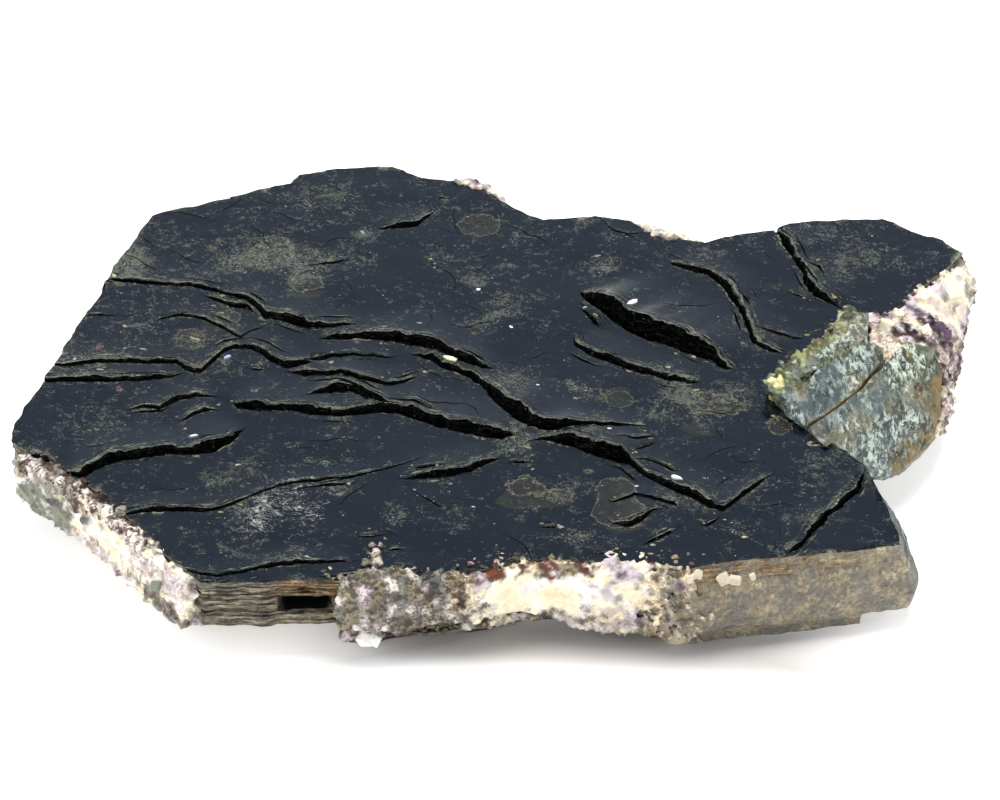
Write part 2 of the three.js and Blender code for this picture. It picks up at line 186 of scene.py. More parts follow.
# A piece from points in millimetres and faces of one size. Values and tints are given per point, and kinds
# say which of the materials each face has.
def makePiece(name, points, faces, materials, kinds=None, sharpAngle=35, values=None, tints=None):
    mesh = bpy.data.meshes.new(name)
    points = np.asarray(points, float)
    inFrame = np.column_stack([points[:, 0] + shiftX, points[:, 1] + shiftY, points[:, 2]]) * mm
    faces = np.asarray(faces, np.int32)
    mesh.vertices.add(len(inFrame))
    mesh.vertices.foreach_set("co", inFrame.ravel())
    mesh.loops.add(faces.size)
    mesh.loops.foreach_set("vertex_index", faces.ravel())
    mesh.polygons.add(len(faces))
    mesh.polygons.foreach_set("loop_start", np.arange(0, faces.size, faces.shape[1], dtype=np.int32))
    for material in materials:
        mesh.materials.append(material)
    if kinds is not None:
        mesh.polygons.foreach_set("material_index", np.asarray(kinds, np.int32))
    mesh.update(calc_edges=True)
    for key, given in (values or {}).items():
        layer = mesh.attributes.new(key, "FLOAT", "POINT")
        layer.data.foreach_set("value", np.asarray(given, np.float32))
    if tints is not None:
        layer = mesh.color_attributes.new("tint", "FLOAT_COLOR", "POINT")
        opaque = np.column_stack([tints, np.ones(len(tints))])
        layer.data.foreach_set("color", opaque.astype(np.float32).ravel())
    mesh.shade_smooth()
    mesh.set_sharp_from_angle(angle=math.radians(sharpAngle))
    obj = linked(name, mesh)
    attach(obj, "root")
    print(name + ":", len(points), "points,", len(faces) * (faces.shape[1] - 2), "triangles")
    return obj


# A screen colour, 0 to 255 a channel, as the linear colour that a shader works in.
def screenColour(red, green, blue):
    share = np.array((red, green, blue)) / 255
    return tuple(np.where(share <= 0.04045, share / 12.92, ((share + 0.055) / 1.055) ** 2.4))


def screenColours(**named):
    return {name: screenColour(*colour) for name, colour in named.items()}


# Stops of a ramp, each a position and a screen colour.
def screenStops(*stops):
    return [(position, screenColour(*colour)) for position, *colour in stops]


# A short way to lay out shader nodes: each call returns the socket that carries the result.
class Graph:
    def __init__(self, tree):
        self.tree = tree

    def node(self, kind, **settings):
        made = self.tree.nodes.new("ShaderNode" + kind)
        for name, value in settings.items():
            setattr(made, name, value)
        return made

    def feed(self, socket, value):
        if isinstance(value, bpy.types.NodeSocket):
            self.tree.links.new(value, socket)
        elif value is not None:
            socket.default_value = value

    # A node with what it is fed, by the inputs' names or numbers; returns its outputs.
    def fed(self, kind, inputs, **settings):
        made = self.node(kind, **settings)
        for key, value in inputs.items():
            self.feed(made.inputs[key], value)
        return made.outputs

    def maths(self, operation, a, b=None, clamp=False):
        return self.fed("Math", {0: a, 1: b}, operation=operation, use_clamp=clamp)[0]

    def plus(self, a, b, clamp=False):
        return self.maths("ADD", a, b, clamp)

    def minus(self, a, b):
        return self.maths("SUBTRACT", a, b)

    def times(self, a, b, clamp=False):
        return self.maths("MULTIPLY", a, b, clamp)

    def most(self, a, b):
        return self.maths("MAXIMUM", a, b)

    # How far one value is from another, either way.
    def apart(self, a, b):
        return self.maths("ABSOLUTE", self.minus(a, b))

    def parts(self, vector):
        return self.fed("SeparateXYZ", {0: vector})

    def blend(self, share, a, b, how="MIX"):
        a, b = ((*colour, 1) if isinstance(colour, tuple) else colour for colour in (a, b))
        return self.fed("Mix", {0: share, 6: a, 7: b}, data_type="RGBA", blend_type=how)[2]

    # Screen colours laid over a colour one by one, each where its mask is and at most so strongly.
    def laid(self, colour, *layers):
        for mask, strength, shade in layers:
            colour = self.blend(self.times(mask, strength), colour, screenColour(*shade))
        return colour

    def toned(self, colour, value):
        return self.fed("HueSaturation", {"Color": colour, "Value": value})[0]

    def noise(self, place, scale, detail=3, roughness=0.55, distortion=0):
        settings = {"Vector": place, "Scale": scale, "Detail": detail, "Roughness": roughness}
        return self.fed("TexNoise", {**settings, "Distortion": distortion})["Fac"]

    def cells(self, place, scale, feature="F1"):
        return self.fed("TexVoronoi", {"Vector": place, "Scale": scale}, feature=feature)

    def window(self, value, low, high, start=0.0, end=1.0):
        inputs = dict(enumerate((value, low, high, start, end)))
        return self.fed("MapRange", inputs, interpolation_type="SMOOTHSTEP")[0]

    # Patches where noise rises from one value to another, and what they run from and to.
    def patches(self, place, scale, detail, roughness, low, high, start=0.0, end=1.0):
        return self.window(self.noise(place, scale, detail, roughness), low, high, start, end)

    def ramp(self, share, stops):
        made = self.node("ValToRGB")
        elements = made.color_ramp.elements
        while len(elements) < len(stops):
            elements.new(0.5)
        for element, (position, colour) in zip(elements, stops):
            element.position = position
            element.color = (*colour, 1)
        self.feed(made.inputs[0], share)
        return made.outputs[0]

    def stretched(self, place, angle, scale):
        turned = {"Vector": place, "Rotation": (0, 0, angle), "Scale": scale}
        return self.fed("Mapping", turned, vector_type="TEXTURE")[0]

    # The piece's own coordinates in millimetres, which stay put on it in every view.
    def place(self):
        own = self.node("TexCoord").outputs["Object"]
        return self.fed("VectorMath", {0: own, "Scale": 1 / mm}, operation="SCALE")[0]

    # Coordinates pushed about by noise, by up to so many millimetres.
    def warped(self, place, scale, reach):
        wavy = self.fed("TexNoise", {"Vector": place, "Scale": scale, "Detail": 4})["Color"]
        pushed = {0: wavy, 1: (reach, reach, reach), 2: place}
        return self.fed("VectorMath", pushed, operation="MULTIPLY_ADD")[0]

    def given(self, name, kind="Fac"):
        return self.node("Attribute", attribute_name=name).outputs[kind]

    def bump(self, height, strength, distance):
        return self.fed("Bump", {"Strength": strength, "Distance": distance * mm, "Height": height})["Normal"]


# A shader node group: its inputs with their usual values, its outputs, and what lays out its nodes.
def shaderGroup(name, inputs, outputs, layOut):
    tree = bpy.data.node_groups.new(name, "ShaderNodeTree")
    for key, usual in inputs.items():
        socket = tree.interface.new_socket(key, in_out="INPUT", socket_type="NodeSocketFloat")
        socket.default_value = usual
    for key, kind in outputs.items():
        tree.interface.new_socket(key, in_out="OUTPUT", socket_type="NodeSocket" + kind)
    entry = tree.nodes.new("NodeGroupInput")
    results = layOut(Graph(tree), entry.outputs)
    leave = tree.nodes.new("NodeGroupOutput")
    for key, socket in results.items():
        tree.links.new(socket, leave.inputs[key])
    return tree


def useGroup(graph, tree, **given):
    return graph.fed("Group", {key.replace("_", " "): value for key, value in given.items()}, node_tree=tree)


# Mica dust, shreds and specks lying on a cleaved face.
dust = {
    "grain": 0.27,  # heading of the shreds in plan, in radians
    "bareBelow": 0.568,  # noise under which the face stays clean
    "patchiness": 2.8,
    **screenColours(
        khaki=(146, 146, 122), grey=(132, 141, 129), chalk=(214, 216, 208), spark=(235, 238, 240),
        olive=(66, 70, 50), brown=(62, 54, 44), green=(70, 135, 90), magenta=(150, 62, 96),
        teal=(60, 110, 120),
    ),
    "oliveGreen": (0.05, 0.075, 0.04),
}


def layDust(graph, inputs):
    place = graph.place()
    bare = graph.minus(graph.noise(place, 0.17, 5, 0.62), dust["bareBelow"])
    amount = graph.plus(inputs["Density"], graph.times(bare, dust["patchiness"]))
    level = graph.times(amount, 0.16)
    warped = graph.warped(place, 0.6, 1.8)
    grained = graph.stretched(warped, -dust["grain"], (1.8, 1, 1))

    def over(value, low, high):
        return graph.window(graph.plus(value, level), low, high)

    # A thin dirty film, torn into leaves.
    torn = graph.patches(grained, 0.8, 6, 0.72, 0.5, 0.54)
    film = graph.times(over(graph.noise(warped, 0.4, 6, 0.68), 0.65, 0.7), torn)

    # Ragged outlines of sheets that have flaked off.
    lines = None
    for size, width, low in ((0.34, 0.006, 0.5), (0.8, 0.011, 0.55), (1.9, 0.022, 0.63)):
        away = graph.apart(graph.noise(grained, size, 7, 0.66), 0.5)
        worn = over(graph.noise(place, 0.9 * size + 0.3, 4, 0.65), low, low + 0.1)
        edge = graph.times(graph.window(away, 0.0, width, 1, 0), worn)
        lines = edge if lines is None else graph.most(lines, edge)

    # Crumbs, gathered into clusters, and single bright specks, which are painted sparkles.
    gathered = over(graph.noise(warped, 0.9, 6, 0.75), 0.55, 0.7)
    crumbs = graph.times(gathered, graph.patches(place, 4.4, 5, 0.85, 0.55, 0.6))
    spots = graph.cells(place, 1.7)
    chosen = graph.window(graph.plus(spots["Color"], graph.times(amount, 0.14)), 0.86, 0.88)
    speck = graph.times(graph.window(spots["Distance"], 0.05, 0.14, 1, 0), chosen)

    shade = graph.blend(graph.patches(place, 0.8, 3, 0.55, 0.38, 0.62), dust["khaki"], dust["grey"])
    flat = graph.times(film, graph.minus(1, graph.most(lines, crumbs)))
    leafColours = [dust[key] for key in ("brown", "olive", "oliveGreen", "olive")]
    leaf = graph.ramp(graph.noise(place, 0.45, 3), list(zip((0.34, 0.46, 0.56, 0.66), leafColours)))
    shade = graph.blend(graph.times(flat, 0.9), shade, leaf)
    shade = graph.blend(graph.most(inputs["White"], graph.times(crumbs, 0.35)), shade, dust["chalk"])
    shade = graph.toned(shade, graph.patches(place, 7, 2, 0.7, 0.3, 0.7, 0.45, 1.25))
    # Painted sparkles: single specks turned near-white.
    shade = graph.blend(speck, shade, dust["spark"])
    cover = graph.most(graph.times(film, 0.6), graph.times(lines, 0.95))
    cover = graph.most(graph.most(cover, graph.times(crumbs, 0.8)), speck)
    return {"Colour": shade, "Cover": graph.times(cover, 0.94, clamp=True)}


# Leaves of mica seen on edge: dark and light stripes that run level round the side.
def layLeaves(graph, inputs):
    place = graph.place()
    split = graph.parts(place)
    level = graph.plus(split["Z"], graph.times(graph.noise(place, 0.12, 2), 1.2))
    inPlan = [graph.times(split[axis], inputs["Length"]) for axis in "XY"]
    layered = graph.fed("CombineXYZ", dict(enumerate(inPlan + [graph.times(level, inputs["Fineness"])])))[0]
    tone = graph.times(graph.noise(layered, 1.0, 7, 0.76), 0.72)
    crumbled = graph.times(graph.noise(place, 1.5, 6, 0.78), 0.28)
    return {"Tone": graph.window(graph.plus(tone, crumbled), 0.37, 0.63)}


# Sugary rock: each grain a little lighter or darker than its neighbours, with dark seams between some.
def layGrains(graph, inputs):
    scaled = {0: graph.place(), "Scale": inputs["Grains per mm"]}
    place = graph.fed("VectorMath", scaled, operation="SCALE")[0]
    seam = graph.window(graph.cells(place, 1.0, "DISTANCE_TO_EDGE")[0], 0.0, 0.09, 1, 0)
    seam = graph.times(seam, graph.patches(place, 0.5, 2, 0.55, 0.45, 0.6))
    tone = graph.times(graph.cells(place, 1.0)["Color"], 0.6)
    tone = graph.plus(tone, graph.times(graph.noise(place, 1.7, 4, 0.7), 0.4))
    return {"Tone": tone, "Seam": seam}


dustGroup = shaderGroup("micaDust", {"Density": 0.2, "White": 0.0},
                        {"Colour": "Color", "Cover": "Float"}, layDust)
leavesGroup = shaderGroup("micaLeaves", {"Length": 0.15, "Fineness": 3.0}, {"Tone": "Float"}, layLeaves)
grainsGroup = shaderGroup("sugaryGrains", {"Grains per mm": 1.5},
                          {"Tone": "Float", "Seam": "Float"}, layGrains)


def newMaterial(name, **settings):
    material = bpy.data.materials.new(name)
    material.use_nodes = True
    shader = material.node_tree.nodes["Principled BSDF"]
    graph = Graph(material.node_tree)
    dress(graph, shader, **settings)
    return material, shader, graph


# Gives the shader's sockets a value or a link each, by their names with _ for a space.
def dress(graph, shader, **results):
    for key, value in results.items():
        graph.feed(shader.inputs[key.replace("_", " ")], value)


def blackFaceMaterial():
    material, shader, graph = newMaterial("blackMicaFace", IOR=1.6, Specular_IOR_Level=0.5)
    place = graph.place()
    lip, film = graph.given("lip"), graph.given("film")
    density = graph.plus(graph.given("dust"), graph.times(graph.times(lip, lip), 1.5))
    flecks = useGroup(graph, dustGroup, Density=density, White=graph.given("chalk"))
    deep = graph.blend(graph.noise(place, 0.2, 2), screenColour(6, 9, 15), screenColour(11, 16, 26))

    # Broken sheets in a crack's lips, as thin lines that follow it.
    along = graph.times(graph.parts(place)["X"], 0.16)
    layered = graph.fed("CombineXYZ", {0: along, 1: graph.times(graph.given("across"), 3.4)})[0]
    edges = graph.noise(layered, 1.0, 5, 0.7)
    fringe = graph.window(graph.plus(lip, graph.times(graph.noise(place, 0.5, 4, 0.7), 0.9)), 0.62, 0.9)
    pale = graph.times(fringe, graph.window(edges, 0.52, 0.6))
    black = graph.times(fringe, graph.window(edges, 0.47, 0.42))

    # Thin sheets left on the face: olive or brown, with a duller gloss.
    cells = graph.cells(graph.stretched(place, -0.3, (1.6, 1, 1)), 0.33)
    leftOver = graph.window(graph.plus(cells["Color"], graph.times(film, 0.6)), 0.92, 0.95)
    patch = graph.plus(film, graph.noise(graph.warped(place, 0.5, 1.5), 0.45, 7, 0.72))
    leftOver = graph.most(leftOver, graph.window(patch, 0.95, 0.98))
    brink = graph.window(graph.apart(patch, 0.965), 0.0, 0.02, 1, 0)
    sheetShade = graph.blend(graph.patches(place, 0.2, 3, 0.55, 0.42, 0.58), screenColour(42, 45, 30),
                             screenColour(46, 37, 31))
    streaked = graph.patches(graph.stretched(place, -dust["grain"], (4, 1, 1)), 1.4, 4, 0.7, 0.35, 0.7)
    sheetShade = graph.blend(streaked, sheetShade, screenColour(24, 24, 22))
    colour = graph.blend(graph.times(leftOver, 0.75), deep, sheetShade)
    colour = graph.blend(graph.times(brink, 0.6), colour, dust["khaki"])

    # A few sheets thin enough to show rings of colour.
    rare = graph.cells(place, 0.21)
    away = graph.plus(rare["Distance"], graph.times(graph.noise(place, 1.1, 3), 0.35))
    ring = graph.times(graph.window(away, 0.24, 0.33, 1, 0), graph.window(rare["Color"], 0.66, 0.7))
    ring = graph.times(ring, graph.patches(place, 3.2, 4, 0.7, 0.45, 0.6))
    hueStops = [(0.3, dust["teal"]), (0.44, dust["green"]), (0.56, dust["magenta"]), (0.7, dust["green"])]
    colour = graph.blend(graph.times(ring, 0.8), colour, graph.ramp(graph.noise(place, 0.9, 2), hueStops))

    fringeShade = graph.blend(graph.patches(place, 1.1, 4, 0.7, 0.4, 0.6), dust["olive"], dust["khaki"])
    colour = graph.blend(graph.times(pale, 0.65), colour, fringeShade)
    colour = graph.blend(black, colour, screenColour(3, 3, 4))
    colour = graph.blend(flecks["Cover"], colour, flecks["Colour"])

    matt = graph.most(black, graph.times(lip, 0.6))
    dull = graph.plus(graph.times(flecks["Cover"], 0.5), graph.times(leftOver, 0.06))
    worn = graph.patches(place, 0.11, 4, 0.65, 0.35, 0.7, 0.1, 0.22)
    waves = graph.noise(graph.stretched(place, -dust["grain"], (2.5, 1, 1)), 0.12, 2)
    height = graph.plus(graph.times(flecks["Cover"], 0.05), graph.times(waves, 0.35))
    dress(graph, shader, Base_Color=colour, Specular_IOR_Level=graph.window(matt, 0, 1, 0.5, 0.05),
          Roughness=graph.plus(dull, worn, clamp=True), Normal=graph.bump(height, 0.55, 1.0))
    return material


def crackWallMaterial():
    material, shader, graph = newMaterial("blackMicaCrack", IOR=1.5, Specular_IOR_Level=0.06, Roughness=0.5)
    place = graph.place()
    # Streaks along the crack: the wall's thin sheets, partly painted highlights, coloured lighter than the
    # shaded wall's gloss would show them.
    streaks = graph.patches(graph.stretched(place, -0.3, (9, 1, 1)), 4.2, 6, 0.75, 0.53, 0.64)
    crumbs = graph.patches(place, 2.2, 4, 0.75, 0.66, 0.72)
    colour = graph.laid(screenColour(3, 3, 4), (streaks, 0.4, (72, 73, 68)), (crumbs, 0.8, (170, 164, 138)))
    dress(graph, shader, Base_Color=colour, Normal=graph.bump(streaks, 0.5, 0.05))
    return material


micaEdge = {
    "leaves": screenStops((0, 20, 19, 18), (0.25, 66, 61, 52), (0.5, 116, 109, 92), (1, 186, 177, 150)),
    "rock": screenStops((0.28, 66, 63, 58), (0.42, 116, 110, 95), (0.56, 154, 142, 116),
                        (0.72, 214, 200, 168)),
    "rust": screenStops((0.1, 34, 24, 18), (0.5, 96, 70, 46), (0.75, 150, 118, 74), (1, 212, 186, 138)),
    "cleaved": screenStops((0.05, 34, 38, 44), (0.4, 82, 88, 86), (0.75, 122, 128, 122), (1, 168, 173, 166)),
}


def micaEdgeMaterial():
    material, shader, graph = newMaterial("micaEdge", IOR=1.55, Specular_IOR_Level=0.35, Roughness=0.62)
    place = graph.place()
    granular, rust = graph.given("granular"), graph.given("rust")
    leaves = useGroup(graph, leavesGroup, Length=0.28, Fineness=3.6)["Tone"]
    fine = useGroup(graph, leavesGroup, Length=0.05, Fineness=1.7)["Tone"]
    grains = useGroup(graph, grainsGroup, Grains_per_mm=2.6)["Tone"]

    # The granular stretch: grey blotches, pale specks, milky veins and painted shade of small pits.
    drift = graph.times(graph.noise(graph.stretched(place, 0, (2.8, 2.8, 1)), 0.8, 8, 0.76), 0.62)
    rocky = graph.ramp(graph.plus(graph.times(grains, 0.38), drift), micaEdge["rock"])
    rocky = graph.laid(rocky, (graph.patches(place, 0.45, 4, 0.65, 0.42, 0.6), 0.6, (98, 100, 100)),
                       (graph.window(leaves, 0.3, 0.05), 0.2, (62, 58, 52)),
                       (graph.patches(place, 3.1, 5, 0.8, 0.6, 0.66), 0.6, (206, 198, 172)))
    veins = graph.plus(graph.given("creamy"), graph.times(graph.noise(place, 0.8, 6, 0.75), 0.9))
    milk = graph.blend(graph.patches(place, 0.5, 3, 0.55, 0.4, 0.6), screenColour(238, 226, 200),
                       screenColour(196, 182, 172))
    rocky = graph.blend(graph.times(graph.window(veins, 0.85, 1.05), 0.85), rocky, milk)
    # Painted shade of small pits: dark brown spots.
    rocky = graph.laid(rocky, (graph.patches(place, 1.8, 6, 0.8, 0.54, 0.64), 0.5, (76, 70, 58)))

    colour = graph.blend(granular, graph.ramp(leaves, micaEdge["leaves"]), rocky)
    patches = graph.patches(place, 0.55, 6, 0.75, 0.44, 0.56)
    rust = graph.times(rust, graph.blend(granular, (1, 1, 1), patches))
    colour = graph.blend(graph.times(rust, 0.85, clamp=True), colour, graph.ramp(leaves, micaEdge["rust"]))
    colour = graph.blend(graph.given("pale"), colour, graph.ramp(fine, micaEdge["cleaved"]))
    # Painted shade: the pit in the front side is near-black all over.
    colour = graph.blend(graph.given("pit"), colour, screenColour(8, 8, 9))
    rough = graph.blend(granular, leaves, graph.plus(grains, graph.noise(place, 1.8, 6, 0.8)))
    dress(graph, shader, Base_Color=colour, Normal=graph.bump(rough, 0.8, 0.16))
    return material


# How a small grain of feldspar differs from the rock round it, by the number that it draws.
grainTones = [(0.0, (0.2, 0.16, 0.14)), (0.1, (0.42, 0.36, 0.33)), (0.2, (0.66, 0.6, 0.62)),
              (0.34, (0.92, 0.88, 0.86)), (0.5, (1, 1, 1)), (1.0, (1.12, 1.1, 1.04))]


def feldsparMaterial():
    material, shader, graph = newMaterial("feldspar", IOR=1.53, Specular_IOR_Level=0.35, Roughness=0.5)
    place = graph.place()
    grains = useGroup(graph, grainsGroup, Grains_per_mm=3.2)
    grime = graph.given("grime")

    # Small grains of their own colours, more of them where the rock is grimy.
    stained = None
    for size in (1.5, 3.8):
        cells = graph.cells(graph.warped(place, 1.6, 0.35), size)
        drawn = graph.fed("SeparateColor", {0: cells["Color"]})[0]
        shade = graph.ramp(graph.plus(drawn, graph.times(grime, -0.22)), grainTones)
        stained = shade if stained is None else graph.blend(1.0, stained, shade, "MULTIPLY")
    share = graph.window(graph.plus(grime, graph.times(graph.noise(place, 0.6, 3), 0.3)), 0.2, 1.0)
    colour = graph.toned(graph.blend(share, graph.given("tint", "Color"), stained, "MULTIPLY"),
                         graph.patches(place, 1.4, 6, 0.75, 0.3, 0.7, 0.86, 1.08))

    # Painted shade and dirt in the hollows, dirt in the seams, and dark grains where the rock is grimy.
    dirtAndHollowShade = graph.times(graph.window(graph.given("hollow"), 0.01, 0.2), graph.plus(grime, 0.2), clamp=True)
    dirtAndHollowShade = graph.most(dirtAndHollowShade, graph.times(grains["Seam"], graph.times(grime, 0.5)))
    specks = graph.window(graph.plus(graph.noise(place, 3.4, 5, 0.8), graph.times(grime, 0.12)), 0.66, 0.7)
    specks = graph.times(specks, graph.patches(place, 0.7, 2, 0.55, 0.4, 0.55))
    colour = graph.laid(colour, (dirtAndHollowShade, 0.8, (104, 90, 82)), (specks, 0.75, (58, 50, 46)))
    dress(graph, shader, Base_Color=colour, Normal=graph.bump(grains["Tone"], 0.35, 0.09))
    return material


def greyMicaMaterial():
    material, shader, graph = newMaterial("greyMica", IOR=1.58, Specular_IOR_Level=0.35)
    upright = graph.stretched(graph.place(), 0.12, (1, 2.6, 1))
    veil = graph.window(graph.noise(upright, 1.5, 9, 0.8, 0.5), 0.47, 0.58)
    veil = graph.times(veil, graph.patches(upright, 0.3, 5, 0.7, 0.42, 0.58, 0.25, 1.2))
    veil = graph.times(veil, graph.given("veil"))
    dark = graph.patches(upright, 0.6, 6, 0.72, 0.49, 0.56)
    gleam = graph.patches(upright, 3.1, 6, 0.8, 0.6, 0.66)
    # Painted shade in the crystal's hollows, darker the deeper a point lies.
    hollow = graph.window(graph.given("hollow"), 0.01, 0.16)
    colour = graph.laid(graph.given("tint", "Color"), (dark, 0.72, (32, 37, 40)),
                        (veil, 0.85, (188, 198, 184)), (gleam, 0.7, (214, 220, 210)),
                        (hollow, 0.8, (30, 31, 28)))
    dress(graph, shader, Base_Color=colour, Roughness=graph.window(veil, 0, 1, 0.42, 0.65),
          Normal=graph.bump(graph.noise(upright, 1.6, 5, 0.7), 0.4, 0.08))
    return material


def flakeMaterial():
    material, shader, graph = newMaterial("micaFlakes", IOR=1.58, Specular_IOR_Level=0.5, Roughness=0.35)
    streaks = graph.patches(graph.place(), 3.0, 4, 0.7, 0.3, 0.7, 0.6, 1.15)
    dress(graph, shader, Base_Color=graph.toned(graph.given("tint", "Color"), streaks))
    return material


blackFace, crackWall, edgeMaterial = blackFaceMaterial(), crackWallMaterial(), micaEdgeMaterial()
feldspar, greyMica, looseMica = feldsparMaterial(), greyMicaMaterial(), flakeMaterial()
print("materials made:", len(bpy.data.materials))


face = {
    "liftPerOpening": 0.75,  # how high a crack's back lip stands, against how wide it gapes
    "leastDepth": 0.8,
    "depthPerOpening": 1.5,
    "shortestRamp": 3.5,
    "rampPerLift": 4.0,
    "wallWidth": 0.025,
    "wander": 0.24,
    "taper": 1.6,  # how far before its ends a crack begins to narrow
    "jog": (0.13, 0.14),  # how far the edges of a crack jump in and out: at least, and against its opening
    "riserShare": 0.62,  # share of an opening that the stair of broken sheets under the lip takes up
    "sheetStep": 0.15,  # height of one tread of that stair
    "mostTreads": 9,
    "lineStep": 0.25,
    "rimStep": 0.45,
    "liftReach": 14,  # how far behind a crack its lip can still be raised
    "fray": 0.08,  # how ragged the edges are from point to point
    "fieldStep": 1.0,
    "waviness": 0.06,
    "fineEdges": 70,
    "fineEdgeStep": 1.3,
    "fineEdgeRoom": 1.6,  # how clear of the cracks a fine edge keeps
    "splinters": 0.11,  # how many thin splits there are for each millimetre of crack
    "splinterOpening": (0.1, 0.3),
    "splinterBy": (5, 0.35),  # the least length and opening of a crack with splinters
    "splinterRoom": 2.5,  # how clear of the rim a splinter keeps
    "lipReach": 0.8,
    "rimDust": 0.55,
    "backDustAsPaintedReflection": 0.22,  # how much more dust there is towards the back, a painted reflection that lightens the face there
    "sideDust": 0.3,
    "steepBelow": 0.75,  # a triangle whose normal rises less than this is a crack's wall
    "slotAbove": 0.35,  # and so is one that lies deeper in a slot than this
    "seed": 7,
}

# Dusty patches on the face: x, y, radius and how dense.
dustSpots = [
    (-43, 29, 3.3, 0.8), (-44, 26, 2.6, 0.9), (-31, 28, 2.9, 0.7), (-26, 31, 3.7, 0.9),
    (-21, 28, 3.2, 0.8), (-23, 24, 2.4, 0.7), (-15, 34, 1.8, 1), (-22, 43, 4.7, 0.5), (-35, 13, 2.4, 0.8),
    (-32, 19, 2.4, 0.6), (-40, 15, 2.6, 0.5), (-45, 6, 3.2, 0.6), (-7, 29, 1.6, 0.9), (-2, 25, 1.6, 0.9),
    (2, 19, 2.6, 0.8), (-1, 16, 2.6, 0.7), (14, 28, 1.8, 0.9), (15, 34, 1.6, 0.7), (3, 4, 3.2, 1),
    (9, 4, 1.8, 0.9), (11, 2, 1.8, 0.9), (20, 6, 1.8, 0.8), (21, 3, 2.6, 0.9), (23, -1, 4.2, 0.8),
    (29, 2, 3.4, 0.8), (2, -7, 2.4, 0.8), (12, -5, 2.4, 0.8), (-28, -12, 2.6, 0.9), (-31, -14, 2.4, 0.7),
    (-5, -11, 1.6, 0.8), (3, -7, 2.6, 0.9), (-22, -18, 4.2, 0.7), (-27, -21, 3, 0.6), (-17, -15, 2.6, 0.5),
    (-10, -21, 2.9, 0.6), (-3, -21, 2.4, 0.7), (-21, -27, 1.8, 0.8), (-27, -25, 2.9, 0.7),
    (18, -2, 2.4, 0.7), (8, -15, 2.9, 0.8), (21, -17, 2.4, 0.9), (25, -15, 2.4, 0.6), (27, -22, 1.8, 0.8),
    (35, -21, 1.8, 0.7), (33, -3, 1.6, 0.8), (37, -11, 3.2, 0.6), (10, -24, 1.8, 0.7), (43, 30, 6.6, 0.35),
    (40, 25, 2.4, 0.6), (-18, -3, 3.2, 0.5), (-45, -3, 3.4, 0.5), (-13, 13, 2.1, 0.6), (-8, 5, 2.4, 0.5),
    (4, 42, 3, 0.5),
]
chalkSpots = [  # where the dust is white
    (-22, -18, 4.5, 1), (-24, -21, 2.9, 1), (-20, -17, 2.4, 1), (6, -19, 1.7, 1), (-1, -27, 1.8, 1),
    (32, -15, 1.2, 1), (35, -15, 0.9, 1), (36, -17, 0.9, 1), (-13, -28, 1.5, 1), (-7, 27, 1.2, 0.7),
]
filmSpots = [  # where a thin olive or brown sheet still lies on the face
    (14, -15.3, 2.2, 1), (14.2, -19.6, 3, 1), (-35.1, 12.8, 2.2, 0.9), (-22.1, 24.2, 2.6, 0.7),
    (-1.3, 36.3, 3, 0.8), (14.7, 1.1, 1.8, 0.9), (-26, 31, 3.5, 0.7), (26, 0, 4, 0.6), (4, -15, 3, 0.6),
    (33, -4, 2.5, 0.6), (-31, 17, 2, 0.7), (8, -17, 2, 0.5),
]

spotsOf = {"dust": dustSpots, "chalk": chalkSpots, "film": filmSpots}

